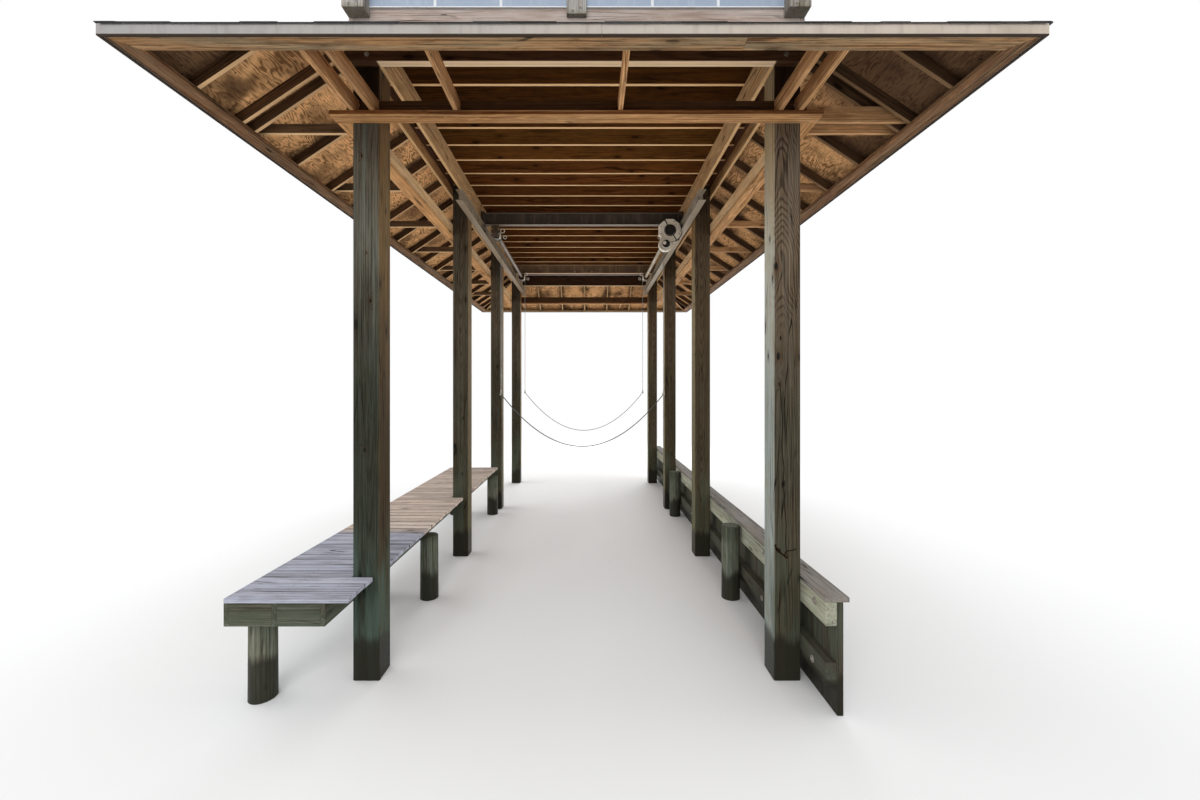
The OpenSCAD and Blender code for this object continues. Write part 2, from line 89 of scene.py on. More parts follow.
GIRDER_X = OUTER + PLANK
PLATE_X = OUTER + PLATE_W
FACE_Y = ROW + 2 * PLANK
HALF_W = GIRDER_X + OVERHANG
HALF_L = FACE_Y + OVERHANG
HEADER_Z = POST_H - HEADER_H
SLOPE = math.atan(PITCH)
SHEATHING_PLUMB = SHEATHING / math.cos(SLOPE)
EAVE_TOP = POST_H - EAVE_DROP
EAVE_Z = EAVE_TOP - TAIL - PLANK
EAVE_BOARD_TOP = EAVE_Z + PLANK
PLATE_Z = EAVE_Z + PLATE_RISE
PLATE_TOP = PLATE_Z + PLANK
HIP_SIDE = PLANK / 2 * math.sqrt(2)
HIP_PITCH = PITCH / math.sqrt(2)
HIP_PLUMB = HIP_H / math.cos(math.atan(HIP_PITCH))
DECK_X = GIRDER_X
DECK_Y = ROW
JOIST_TOP = POST_H + JOIST_H
SIDE_RIM_Z = JOIST_TOP - SIDE_RIM_H
DECK_TOP = JOIST_TOP + PLANK
GUARD_TOP = DECK_TOP + GUARD_H
WALK_Y = -ROW - WALK_FRONT
WALK_END = POST_Y[2] - WALK_GAP
WALK_OUT = WALK_X + WALK_W
WALK_UNDER = WALK_Z - PLANK
WALK_BOARDS = round((WALK_END - WALK_Y) / WALK_BOARD)
WALK_STEP = (WALK_END - WALK_Y) / WALK_BOARDS
WALER_TOP = BULK_Z - BULK_CAP
CORNERS = [(sx, sy) for sx in (-1, 1) for sy in (-1, 1)]


# Shaders
def times(factor, color):
    """A colour made lighter or darker, by one factor or by one for each channel."""
    factors = factor if isinstance(factor, tuple) else (factor,) * 3
    return tuple(k * c for k, c in zip(factors, color))


def arithmetic(operation):
    """What a value does with an operator on its left and on its right."""
    return (lambda a, b: a.shader.math(operation, a, b)), (lambda b, a: b.shader.math(operation, a, b))


class Value:
    """What a node puts out, for plain arithmetic."""

    def __init__(self, shader, socket):
        self.shader, self.socket = shader, socket

    __add__, __radd__ = arithmetic("ADD")
    __sub__, __rsub__ = arithmetic("SUBTRACT")
    __mul__, __rmul__ = arithmetic("MULTIPLY")
    __truediv__, __rtruediv__ = arithmetic("DIVIDE")
    __pow__, __rpow__ = arithmetic("POWER")


class Shader:
    """The nodes of a material or a world, written as short calls that return values; color is the colour so far."""

    def __init__(self, name, color=None, kind="materials"):
        self.color = color
        self.block = getattr(bpy.data, kind).new(name)
        self.block.use_nodes = True
        self.tree = self.block.node_tree
        self.bsdf = self.tree.nodes.get("Principled BSDF")

    def put(self, socket, value):
        if isinstance(value, Value):
            value = value.socket
        if isinstance(value, bpy.types.NodeSocket):
            self.tree.links.new(value, socket)
        else:
            socket.default_value = (*value, 1.0) if socket.type == "RGBA" else value

    def node(self, kind, inputs=(), **settings):
        """A new node; its inputs are given in order, or by name or number."""
        made = self.tree.nodes.new("ShaderNode" + kind)
        for key, value in settings.items():
            setattr(made, key, value)
        for key, value in inputs.items() if isinstance(inputs, dict) else enumerate(inputs):
            self.put(made.inputs[key], value)
        return made

    def out(self, output, *node, **settings):
        """One output of a new node, by name or number."""
        return Value(self, self.node(*node, **settings).outputs[output])

    def math(self, operation, a, b=0.0):
        return self.out(0, "Math", (a, b), operation=operation)

    def sine(self, a):
        return self.math("SINE", a)

    def most(self, a, b):
        return self.math("MAXIMUM", a, b)

    def apart(self, a, b):
        return self.math("ABSOLUTE", a - b)

    def phase(self, a, pitch):
        """How far a value has come through its pitch, from 0 to 1."""
        return self.math("FRACT", a / pitch)

    def radius(self, *parts):
        """The root of the sum of squares."""
        total, *rest = [part ** 2.0 for part in parts]
        for square in rest:
            total = total + square
        return self.math("SQRT", total)

    def sway(self, value, noise, amount):
        """A value moved to and fro by a noise."""
        return value + (noise - 0.5) * amount

    def step(self, value, low, high, amount=None):
        """0 below low, 1 above high, smooth between; low above high turns it round. An amount multiplies it."""
        turned = low > high
        made = self.out("Result", "MapRange", {"Value": value, "From Min": min(low, high), "From Max": max(low, high),
                                               "To Min": float(turned), "To Max": float(not turned)},
                        interpolation_type="SMOOTHSTEP")
        return made if amount is None else made * amount

    def split(self, vector):
        return [Value(self, part) for part in self.node("SeparateXYZ", (vector,)).outputs]

    def join(self, x=0.0, y=0.0, z=0.0):
        return self.out(0, "CombineXYZ", (x, y, z))

    def scaled(self, vector, scale):
        return self.out(0, "VectorMath", (vector, scale), operation="MULTIPLY")

    def noise(self, vector, scale=1.0, detail=3.0, rough=0.55):
        return self.out("Fac", "TexNoise", {"Vector": vector, "Scale": scale, "Detail": detail, "Roughness": rough})

    def cells(self, vector, scale=1.0, feature="F1"):
        made = self.node("TexVoronoi", {"Vector": vector, "Scale": scale}, feature=feature)
        return {output.name: Value(self, output) for output in made.outputs}

    def mix(self, factor, a, b, blend="MIX"):
        return self.out(2, "Mix", {0: factor, 6: a, 7: b}, data_type="RGBA", blend_type=blend)

    def lay(self, factor, over):
        """Another colour over the colour so far, where the factor is 1."""
        self.color = self.mix(factor, self.color, over)

    def tone(self, factor, by):
        """The colour so far multiplied by another, where the factor is 1."""
        self.lay(factor, self.mix(1.0, self.color, by, "MULTIPLY"))

    def tint(self):
        return self.out("Fac", "Attribute", attribute_name="tint")

    def dim(self, base, spread):
        """Each board or tab gets a shade of its own."""
        shade = base + self.tint() * spread
        self.color = self.mix(1.0, self.color, self.join(shade, shade, shade), "MULTIPLY")

    def place(self):
        return self.out("Object", "TexCoord")

    def normal(self):
        return self.split(self.out("Normal", "NewGeometry"))

    def seen(self):
        """1 for what the eye sees, straight, in gloss or through glass."""
        rays = self.node("LightPath").outputs
        return self.most(rays["Is Camera Ray"], self.most(rays["Is Glossy Ray"], rays["Is Transmission Ray"]))

    def bump(self, height, strength, distance):
        made = self.out(0, "Bump", {"Strength": strength, "Distance": distance, "Height": height})
        self.put(self.bsdf.inputs["Normal"], made)

    def finish(self, roughness=0.8, metallic=0.0, specular=0.3):
        for name, value in (("Base Color", self.color), ("Roughness", roughness), ("Metallic", metallic),
                            ("Specular IOR Level", specular)):
            self.put(self.bsdf.inputs[name], value)
        return self.block


def timber(name, light, dark, grey, greying, ring, knots, checks, *, contrast=0.7, fibres=0.5, mottling=0.35,
           streaks=0.0, taper=0.004, swell=0.018, crown=(), marks=(), inner=None, inner_low=None, front=None,
           lit_underside=None, lit_span=None, far=None, head=None, grime_and_shade=0.0, joints=None, moss=None, algae=0.0,
           slime=(0.078, 0.100, 0.068), wet=0.0):
    """Sawn timber, cut from rings round each board's own pith, from the board's grain and tint attributes."""
    s = Shader(name, light)
    grain = s.out("Vector", "Attribute", attribute_name="grain")
    place = s.split(s.place())

    def grained(along, across, detail=3.0, rough=0.55):
        """Noise that is drawn out along the grain."""
        return s.noise(s.scaled(grain, (along, across, across)), detail=detail, rough=rough)

    # Growth rings, bent by a crown in the log and round each listed knot
    along, across, depth = s.split(grain)
    drift = grained(0.8, 7.0, 2.0) - 0.5
    radius = s.radius(across + drift * 0.05, depth + drift * 0.04)
    radius = s.sway(radius - along * taper, grained(0.9, 1.2, 1.0), swell)
    for low, high, amount in crown:
        radius = radius + s.step(place[2] + drift * 0.25, low, high, amount)
    ringed, core = 0.0, 0.0
    for x, y, z, size in marks:
        off = s.radius(place[0] - x, place[1] - y, (place[2] - z) * 0.45)
        radius = radius + s.step(off, 4.5 * size, 0.0, 0.028)
        ringed = s.most(ringed, s.step(off, 3.0 * size, 0.6 * size))
        core = s.most(core, s.step(off, size, 0.7 * size))
    wave = s.sine(radius * (2000 * math.pi / ring) + drift * 9.0)
    figure = s.step(grained(0.75, 2.0, 1.0), 0.34, 0.60)
    late = s.step(wave, -0.1, 0.98) * (0.3 + figure * 0.7)

    # Colour: rings, fibres, each board's shade, greying, darker patches and mottles
    fibre, blotch, patch = grained(3.0, 190.0, rough=0.65), grained(1.1, 9.0, 4.0, 0.6), grained(0.5, 3.0)
    mottle = grained(5.0, 34.0, 4.0, 0.7)
    s.lay(late * contrast, dark)
    s.lay(s.step(fibre, 0.35, 0.7, fibres), dark)
    s.dim(0.72, 0.5)
    s.lay(s.step(blotch, 0.42, 0.66, greying), grey)
    s.lay(s.step(patch, 0.5, 0.72, 0.35), dark)
    s.lay(s.step(mottle, 0.50, 0.66, mottling), dark)
    lit = tuple(min(1.0, c) for c in times(1.4, light))
    s.lay(s.step(mottle, 0.47, 0.33, mottling * 0.7), lit)
    # Faces toward the front are multiplied darker: painted shade.
    if front:
        s.tone(s.step(s.normal()[1], -0.5, -0.9), front)
    inside = 0.0
    # Faces toward the middle across x get their own colour: on the posts painted light on the faces toward the slip,
    # darker from about 4.1 m up; on the rims browner wood out of the weather.
    if inner:
        inside = s.step(s.normal()[0] * s.math("SIGN", place[0]), -0.5, -0.9)
        pale = s.mix(late * 0.55, inner, times(0.55, inner))
        pale = s.mix(s.step(mottle, 0.50, 0.62, 0.55), pale, times((0.80, 0.62, 0.42), inner))
        inner_darker_top = s.step(s.sway(place[2], patch, 2.5), 4.1, 4.9, 0.85)
        pale = s.mix(inner_darker_top, pale, times((0.72, 0.50, 0.28), inner))
        s.lay(inside * 0.85, pale)

    # Knots and drying checks
    knot = s.cells(s.scaled(grain, (2.6, 7.5, 7.5)))
    chosen = s.step(s.split(knot["Color"])[0], knots + 0.01, knots - 0.01)
    s.lay(s.step(knot["Distance"], 0.42, 0.12, chosen) * 0.45, dark)
    s.lay(s.step(knot["Distance"], 0.17, 0.09, chosen) * 0.8, times(0.35, dark))
    edge = s.cells(s.scaled(grain, (0.85, 24.0, 24.0)), feature="DISTANCE_TO_EDGE")["Distance"]
    split = s.step(edge, 0.035, 0.008, s.step(grained(1.3, 9.0, 1.0), 0.62 - 0.25 * checks, 0.68))
    s.lay(split * min(1.0, checks * 2), times(0.18, dark))
    if marks:
        s.lay(ringed * 0.55, (0.075, 0.034, 0.016))
        s.lay(core, (0.008, 0.006, 0.004))

    # Weather, and painted light and shade: streaks, grime low down that is partly painted shade, painted shade
    # at the heads, painted sunlight or shade farther back, moss, algae and the tide's wet
    if streaks:
        run = grained(0.5, 85.0, 4.0, 0.7)
        s.lay(s.step(run, 0.50, 0.64, streaks), times(1.9, grey))
        s.lay(s.step(run, 0.47, 0.36, streaks), times(0.4, dark))
    # Darker lower down: grime, made deeper on the posts as painted shade on their backlit faces; on the faces toward
    # the slip the inner_low colour takes its place.
    if grime_and_shade:
        low = s.step(s.sway(place[2], blotch, 1.4), 4.3, 2.3, grime_and_shade)
        if inner_low:
            s.tone(low * inside, inner_low)
            low = low * (1.0 - inside)
        s.tone(low, (0.34, 0.41, 0.38))
    # Darker above the head heights, less on the faces toward the slip: painted shade under the roof on the posts; on
    # the piles and stringers a darker top band.
    if head:
        high = s.step(place[2], *head) * (1.0 - inside * 0.8)
        s.tone(high, (0.17, 0.11, 0.07))
    # Multiplied by another colour farther back along y: painted sunlight on the walkway, painted shade on the joists.
    if far:
        start, end, by = far
        s.tone(s.step(s.sway(place[1], patch, 0.5), start, end), by)
    if joints:
        start, pitch = joints
        run = place[1] - start
        beside = s.sway(s.apart(s.phase(run, pitch), 0.48), blotch, 0.24)
        gap = s.step(beside, 0.42, 0.49, s.step(run, 0.04, 0.07))
        s.lay(gap * (0.25 + s.step(s.tint(), 0.1, 0.6, 0.6)), times(0.12, dark))
    if moss:
        furred = s.step(s.sway(place[2], patch, 0.25), moss + 0.05, moss - 0.04, s.step(blotch, 0.36, 0.5))
        s.lay(furred * 0.5, (0.12, 0.095, 0.03))
    if algae:
        green = s.step(place[2] + drift * 1.2, 1.55, 0.8, s.step(blotch, 0.3, 0.6))
        s.lay(green * algae, slime)
    roughness = 0.82
    if wet:
        damp = s.step(s.sway(place[2], blotch, 0.35), wet + 0.07, wet - 0.05)
        s.lay(damp * 0.86, (0.016, 0.015, 0.01))
        roughness = 0.82 - damp * 0.42
    # Undersides lighter: painted light from below. With a span, only within it across x; beyond it, over the posts,
    # they stay dark as painted shade.
    if lit_underside:
        below = s.step(s.normal()[2], -0.55, -0.85)
        if lit_span:
            below = below * s.step(s.math("ABSOLUTE", place[0]), lit_span + 0.01, lit_span - 0.01)
        s.lay(below, s.mix(s.step(fibre, 0.3, 0.7, 0.5), lit_underside, times(0.62, lit_underside)))
    height = late * 0.25 + fibre * 0.6 - split * 2.5
    s.bump(height, 0.55, 0.003)
    return s.finish(roughness, specular=0.08)


def panel(name, light, dark, swap, first, pitch, mould_and_shade=0.0):
    """Rotary-cut plywood seen from below, its figure along the eave; rafters lie at first and each pitch on."""
    s = Shader(name, light)
    x, y, _ = s.split(s.place())
    along, up = (y, x) if swap else (x, y)
    flat = s.join(along, up)
    wave = s.sine(s.noise(s.join(along * 1.3, up * 4.6), rough=0.5) * 120.0)
    fibre = s.noise(s.join(along * 9.0, up * 150.0), rough=0.65)
    late = s.step(wave, -0.35, 0.95, s.step(fibre + s.noise(flat, 3.5), 0.78, 1.12))
    patch, mould = s.noise(flat, 2.2, 4.0), s.noise(flat, 1.1, 5.0, 0.65)
    s.lay(late * 0.95, dark)
    s.lay(s.step(fibre, 0.42, 0.66, 0.5), dark)
    s.lay(s.step(patch, 0.44, 0.66, 0.7), times(0.5, dark))
    spot = s.step(s.cells(flat, 30.0)["Distance"], 0.30, 0.12, s.step(s.noise(flat, 5.0, 2.0), 0.50, 0.62))
    s.lay(spot, (0.012, 0.010, 0.008))
    for cx, cy, reach in ((2.75, -5.25, 1.5), (-2.95, -5.45, 0.75)):
        away = s.sway(s.radius(x - cx, y - cy), patch, 1.3)
        s.lay(s.step(away, reach, reach * 0.35, 0.85), (0.035, 0.018, 0.013))
    # Mould patches; on the right slope the last argument spreads and deepens them, as mould and as painted shade.
    s.lay(s.step(mould, 0.55 - mould_and_shade, 0.68 - mould_and_shade, 0.6 + mould_and_shade), (0.055, 0.030, 0.018))
    # Darker in each bay's sides beside the rafters: painted shadow of the rafters.
    bay = s.phase(along + (20 * pitch - first), pitch)
    beside = s.step(s.sway(s.apart(bay, 0.5), mould, 0.55), 0.30, 0.50, 0.72)
    s.lay(beside, (0.042, 0.022, 0.013))
    seam = s.step(s.apart(s.phase(along + 20.3, 2.44), 0.5), 0.4985, 0.4992)
    s.lay(seam, (0.01, 0.008, 0.006))
    s.bump(late * 0.3 + fibre * 0.5, 0.4, 0.002)
    return s.finish(0.85, specular=0.08)


def paint(name, color, dirt, amount=0.3, roughness=0.5, lines=0.0, metallic=0.0, lit_underside=None, tone=None, shadow_foot=None,
          shine=0.4):
    """Painted or galvanised metal or trim, with stains that run down it; a lighter underside colour is painted light
    from below; tone is an axis, a start, an end and a colour that it is multiplied by from there on, painted light or
    shade along the part; and below the foot height a dark strip is a painted shadow line."""
    s = Shader(name, color)
    at = s.place()
    place = s.split(at)
    run, cloud = s.noise(s.scaled(at, (14.0, 14.0, 1.6)), detail=4.0, rough=0.6), s.noise(at, 3.0, 4.0)
    fine = s.noise(at, 90.0)
    s.lay(s.step(run, 0.48, 0.72, amount), dirt)
    s.lay(s.step(cloud, 0.5, 0.75, amount), dirt)
    s.lay(s.step(fine, 0.5, 0.75, amount * 0.4), dirt)
    height = fine * 0.3
    if lines:
        wave = s.sine(place[2] * (2000 * math.pi / lines))
        s.lay(s.step(wave, 0.3, 1.0, 0.4), dirt)
        height = height + wave
    # Undersides lighter: painted light from below.
    if lit_underside:
        s.lay(s.step(s.normal()[2], -0.7, -0.95), s.mix(s.step(fine, 0.4, 0.7, 0.4), lit_underside, dirt))
    # Multiplied by another colour along an axis: painted light or shade along the part.
    if tone:
        axis, start, end, by = tone
        s.tone(s.step(place[axis], start, end), by)
    # A dark strip below the foot height: painted shadow line under the part.
    if shadow_foot:
        s.lay(s.step(place[2], shadow_foot, shadow_foot - 0.002), (0.040, 0.028, 0.020))
    s.bump(height, 0.25, 0.001)
    return s.finish(roughness, metallic, shine)


def mineral(name, color, pale):
    """Granules on shingles, with a shade for each tab."""
    s = Shader(name, color)
    grit = s.cells(s.place(), 420.0)
    s.lay(s.split(grit["Color"])[0] * 0.55, pale)
    s.dim(0.6, 0.9)
    s.lay(s.step(s.noise(s.place(), 5.0, 4.0), 0.5, 0.75, 0.3), pale)
    s.bump(grit["Distance"], 0.5, 0.001)
    return s.finish(0.92, specular=0.15)


def webbing(name, color):
    """Woven strap, ribbed along its length."""
    s = Shader(name, color)
    x, y, z = s.split(s.place())
    rib = s.sine(y * (2 * math.pi / 0.0045))
    weave = rib * s.sine((x + z) * (2 * math.pi / 0.006))
    # The raised threads are lighter: painted highlight.
    s.lay(s.step(weave, 0.2, 0.9), times(2.2, color))
    s.lay(s.step(s.noise(s.place(), 6.0), 0.5, 0.75, 0.3), (0.10, 0.095, 0.075))
    s.bump(weave, 0.4, 0.0008)
    return s.finish(0.85, specular=0.2)


def strand(name, color):
    """Laid wire rope, its strands winding up a plumb rope."""
    # The rope is dark and its strands' crests lighter: painted shade in the grooves between the strands.
    s = Shader(name, times(0.35, color))
    x, y, z = s.split(s.place())
    lay = s.sine(z * (2 * math.pi / 0.022) + (x + y) * 900.0)
    s.lay(s.step(lay, -0.4, 0.9), color)
    s.bump(lay, 0.6, 0.001)
    return s.finish(0.45, 0.7, 0.5)


def floor_paper():
    """Pale paper that holds the shadow near the building and is plain white to the eye farther out."""
    s = Shader("floor_look", (0.82, 0.82, 0.81))
    x, y, _ = s.split(s.place())
    far = s.step(s.radius(x * (1 / 4.2), y * (1 / 7.4)), 1.0, 2.3)
    white = s.node("Emission", {"Color": (1, 1, 1), "Strength": 1.0})
    s.finish(0.9)
    blend = s.node("MixShader", (s.seen() * far, s.bsdf.outputs[0], white.outputs[0]))
    s.put(s.tree.nodes["Material Output"].inputs["Surface"], blend.outputs[0])
    return s.block


# Pieces
def piece(name, points, faces, material, slot, nodes=()):
    """A mesh object with its faces turned outwards."""
    mesh = bpy.data.meshes.new(name)
    mesh.from_pydata(points, [], faces)
    mesh.validate()
    work = bmesh.new()
    work.from_mesh(mesh)
    bmesh.ops.recalc_face_normals(work, faces=work.faces)
    work.to_mesh(mesh)
    work.free()
    mesh.materials.append(material)
    made = bpy.data.objects.new(name, mesh)
    bpy.context.scene.collection.objects.link(made)
    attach(made, "root")
    if nodes:
        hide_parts(*nodes)
    return made


def axes(axis):
    """The numbers of an axis and of the two that follow it."""
    a = "xyz".index(axis)
    return a, (a + 1) % 3, (a + 2) % 3


def point_on(axis, along, u, v):
    """A point from its place along an axis and in the two that follow it."""
    point = [0.0] * 3
    for k, value in zip(axes(axis), (along, u, v)):
        point[k] = value
    return point


def mirror(sign, axis, low, high):
    """Corners of a box on the plus side of an axis, taken to the side of the sign."""
    low, high, a = list(low), list(high), "xyz".index(axis)
    low[a], high[a] = sorted((sign * low[a], sign * high[a]))
    return low, high


def turns(count):
    """The angles of a circle's points."""
    return [2 * math.pi * i / count for i in range(count)]


def inset(outline, d):
    """A closed outline moved inwards by d."""
    area = sum(a[0] * b[1] - b[0] * a[1] for a, b in zip(outline, outline[1:] + outline[:1]))
    turn = 1 if area > 0 else -1
    made = []
    for i, p in enumerate(outline):
        before, after = outline[i - 1], outline[(i + 1) % len(outline)]
        n = []
        for a, b in ((before, p), (p, after)):
            dx, dy = b[0] - a[0], b[1] - a[1]
            size = math.hypot(dx, dy)
            n.append((-dy / size * turn, dx / size * turn))
        k = d / (1 + n[0][0] * n[1][0] + n[0][1] * n[1][1])
        made.append((p[0] + k * (n[0][0] + n[1][0]), p[1] + k * (n[0][1] + n[1][1])))
    return made


class Stock:
    """Boards of one sort of timber in one mesh, with each board's grain and tint kept on its points."""

    def __init__(self, name, material, slot, seed, nodes=()):
        self.name, self.material, self.slot, self.nodes = name, material, slot, nodes
        self.random = random.Random(seed)
        self.points, self.faces, self.grain, self.tint = [], [], [], []

    def body(self, rings, grains=None):
        """Rings of equal length, joined in order, with flat ends."""
        base, count = len(self.points), len(rings[0])
        tint = self.random.random()
        for k, ring in enumerate(rings):
            self.points += ring
            self.grain += grains[k] if grains else [(0, 0, 0)] * count
            self.tint += [tint] * count
        for a in range(base, base + (len(rings) - 1) * count, count):
            for i in range(count):
                j = (i + 1) % count
                self.faces.append((a + i, a + j, a + count + j, a + count + i))
        self.faces.append(tuple(base + i for i in reversed(range(count))))
        last = base + (len(rings) - 1) * count
        self.faces.append(tuple(last + i for i in range(count)))

    def pith(self, width, thick):
        """Where the pith lies from the middle of a board, and a start along the log."""
        if min(width, thick) > 150:
            return self.random.uniform(-30, 30), self.random.uniform(-30, 30), self.random.uniform(0, 40)
        offset = self.random.choice((-1, 1)) * self.random.uniform(0.5, 1.6) * max(width, thick) * 0.45
        spread = self.random.uniform(-0.35, 0.35) * max(width, thick)
        start = self.random.uniform(0, 40)
        return (spread, offset, start) if width > thick else (offset, spread, start)

    def board(self, low, high, axis, edge=2.5, bow=1.0, step=700, pith=None):
        """A straight board along x, y or z between two corners."""
        a, b, c = axes(axis)
        length, width, thick = high[a] - low[a], high[b] - low[b], high[c] - low[c]
        edge = min(edge, width / 4, thick / 4)
        pb, pc, start = pith or self.pith(width, thick)
        bb, bc = (self.random.uniform(-bow, bow) for _ in range(2))
        pieces = max(1, round(length / step))
        stations = [0.0] + [edge + (length - 2 * edge) * i / pieces for i in range(pieces + 1)] + [length]
        rings, grains = [], []
        for k, s in enumerate(stations):
            e = edge if k in (0, len(stations) - 1) else 0.0
            hw, ht = width / 2 - e, thick / 2 - e
            section = [(-hw + edge, -ht), (hw - edge, -ht), (hw, -ht + edge), (hw, ht - edge),
                       (hw - edge, ht), (-hw + edge, ht), (-hw, ht - edge), (-hw, -ht + edge)]
            lift = math.sin(math.pi * s / length)
            rings.append([point_on(axis, low[a] + s, (low[b] + high[b]) / 2 + u + bb * lift,
                                   (low[c] + high[c]) / 2 + v + bc * lift) for u, v in section])
            grains.append([(start + s / 1000, (u - pb) / 1000, (v - pc) / 1000) for u, v in section])
        self.body(rings, grains)

    def run(self, low, high, axis, cuts, gap=1.5, **more):
        """A long row of boards end to end, cut at the given places along the axis."""
        a = "xyz".index(axis)
        marks = [low[a]] + sorted(cuts) + [high[a]]
        for i, (start, end) in enumerate(zip(marks, marks[1:])):
            lo, hi = list(low), list(high)
            lo[a] = start + (gap / 2 if i else 0)
            hi[a] = end - (gap / 2 if i < len(marks) - 2 else 0)
            self.board(lo, hi, axis, **more)

    def prism(self, outline, layers, place, angle=0.0):
        """An outline of run and height given a thickness. outline(u) is the outline at that layer,
        place(u, run, z) puts a point into the frame, and angle is the grain's slope."""
        first, last = layers[0], layers[-1]
        spread, offset, start = self.pith(last - first, 140)
        middle = (first + last) / 2
        cs, sn = math.cos(angle), math.sin(angle)
        edge = min(2.5, (last - first) / 4)
        steps = [(first, edge), (first + edge, 0.0)] + [(u, 0.0) for u in layers[1:-1]]
        steps += [(last - edge, 0.0), (last, edge)]
        centre = np.mean(np.array(outline(middle)), axis=0)
        rings, grains = [], []
        for u, e in steps:
            flat = inset(outline(u), e) if e else outline(u)
            rings.append([place(u, r, z) for r, z in flat])
            grains.append([(start + (r * cs + z * sn) / 1000,
                            ((z - centre[1]) * cs - (r - centre[0]) * sn - offset) / 1000,
                            (u - middle - spread) / 1000) for r, z in flat])
        self.body(rings, grains)

    def pole(self, x, y, high):
        """A round pile from the water up, with a worn head."""
        sides, taper, worn = 28, 4.0, 7.0
        pb, pc, start = self.random.uniform(-12, 12), self.random.uniform(-12, 12), self.random.uniform(0, 40)
        heights = [high * k / 5 for k in range(5)] + [high - 8, high]
        lobes = [(self.random.uniform(0.5, 2.2), self.random.uniform(0, 6.3)) for _ in range(3)]
        rings, grains = [], []
        for z in heights:
            r0 = PILE / 2 - taper * z / high - (worn if z == high else 0.0)
            ring, grain = [], []
            for t in turns(sides):
                r = r0 - 2.5 + sum(g * math.sin((n + 2) * t + p + z / 900) for n, (g, p) in enumerate(lobes)) * 0.45
                u, v = r * math.cos(t), r * math.sin(t)
                ring.append((x + u, y + v, z))
                grain.append((start + z / 1000, (u - pb) / 1000, (v - pc) / 1000))
            rings.append(ring)
            grains.append(grain)
        self.body(rings, grains)

    def rod(self, start, axis, length, radius, sides=12, chamfer=0.8):
        """A round or many-sided bar from start; a length below zero runs the other way."""
        a, b, c = axes(axis)
        cut = math.copysign(min(chamfer, abs(length) / 3), length)
        ends = ((0, radius - chamfer), (cut, radius), (length - cut, radius), (length, radius - chamfer))
        self.body([[point_on(axis, start[a] + s, start[b] + r * math.cos(t), start[c] + r * math.sin(t))
                    for t in turns(sides)] for s, r in ends])

    def plate(self, low, high, edge=0.8):
        self.board(low, high, "z", edge=edge, bow=0.0, step=5000)

    def bolt(self, at, axis, way, washer=22, head=12):
        """A washer and a six-sided head standing out of a face."""
        self.rod(at, axis, 4 * way, washer, 16)
        top = list(at)
        top["xyz".index(axis)] += 4 * way
        self.rod(top, axis, 9 * way, head, 6)

    def ring(self, centre, axis, radius, wire, sides=28, wires=8, start=0.0, turn=1.0):
        """A wire bent round a circle, or part of it."""
        a, b, c = axes(axis)
        steps = max(3, round(sides * turn))
        rings = []
        for k in range(steps + 1):
            t = 2 * math.pi * (start + turn * k / steps)
            ring = []
            for w in turns(wires):
                r = radius + wire * math.cos(w)
                ring.append(point_on(axis, centre[a] + wire * math.sin(w), centre[b] + r * math.cos(t),
                                     centre[c] + r * math.sin(t)))
            rings.append(ring)
        self.body(rings)

    def make(self, smooth=False):
        points = [tuple(c * 0.001 for c in p) for p in self.points]
        mesh = piece(self.name, points, self.faces, self.material, self.slot, self.nodes).data
        for name, kind, field, values in (("grain", "FLOAT_VECTOR", "vector", self.grain),
                                          ("tint", "FLOAT", "value", self.tint)):
            put = mesh.attributes.new(name, kind, "POINT")
            put.data.foreach_set(field, np.array(values, np.float32).ravel())
        if smooth:
            mesh.shade_smooth()


def make(*stocks):
    for stock in stocks:
        stock.make()


def both_sides(name, look, slot, seed, nodes, *runs, bow=1.0):
    """Boards on both sides of the middle: each run has the axis across it, two corners and the cuts."""
    stock = Stock(name, look, slot, seed, nodes)
    for sign in (-1, 1):
        for axis, low, high, cuts in runs:
            stock.run(*mirror(sign, axis, low, high), "y" if axis == "x" else "x", cuts, bow=bow)
    stock.make()


# The four slopes: u along the eave, run from the eave inwards
def on_front(u, run, z):
    return (u, -HALF_L + run, z)


def on_rear(u, run, z):
    return (-u, HALF_L - run, z)


def on_right(u, run, z):
    return (HALF_W - run, u, z)


def on_left(u, run, z):
    return (-HALF_W + run, -u, z)


def mirrored_right(u, run, z):
    return (-HALF_W + run, u, z)


SLOPES = ((on_front, HALF_W), (on_rear, HALF_W), (on_left, HALF_L), (on_right, HALF_L))


def roof_z(run):
    return EAVE_TOP + PITCH * run


def over_roof(run):
    """The underside of the shingles."""
    return roof_z(run) + SHEATHING_PLUMB + PITCH * FASCIA


def end_rafter(half):
    return half - OVERHANG - HIP_SIDE - PLANK / 2


def end_places():
    last = end_rafter(HALF_W)
    bays = round(2 * last / RAFTER_PITCH)
    return [-last + 2 * last * i / bays for i in range(bays + 1)]


def side_places():
    last = end_rafter(HALF_L)
    count = int((2 * last - 3 * PLANK - RAFTER_START) // RAFTER_PITCH) + 1
    return [-last] + [-last + RAFTER_START + RAFTER_PITCH * i for i in range(count)] + [last]


# Timbers: light, dark and grey, then greying, ring, knots and checks
FRONT = -ROW / 1000
HEAD = (4.93, 5.02)
POST_WET = 0.36
SUNNY = dict(contrast=0.95, fibres=0.6, mottling=0.5)
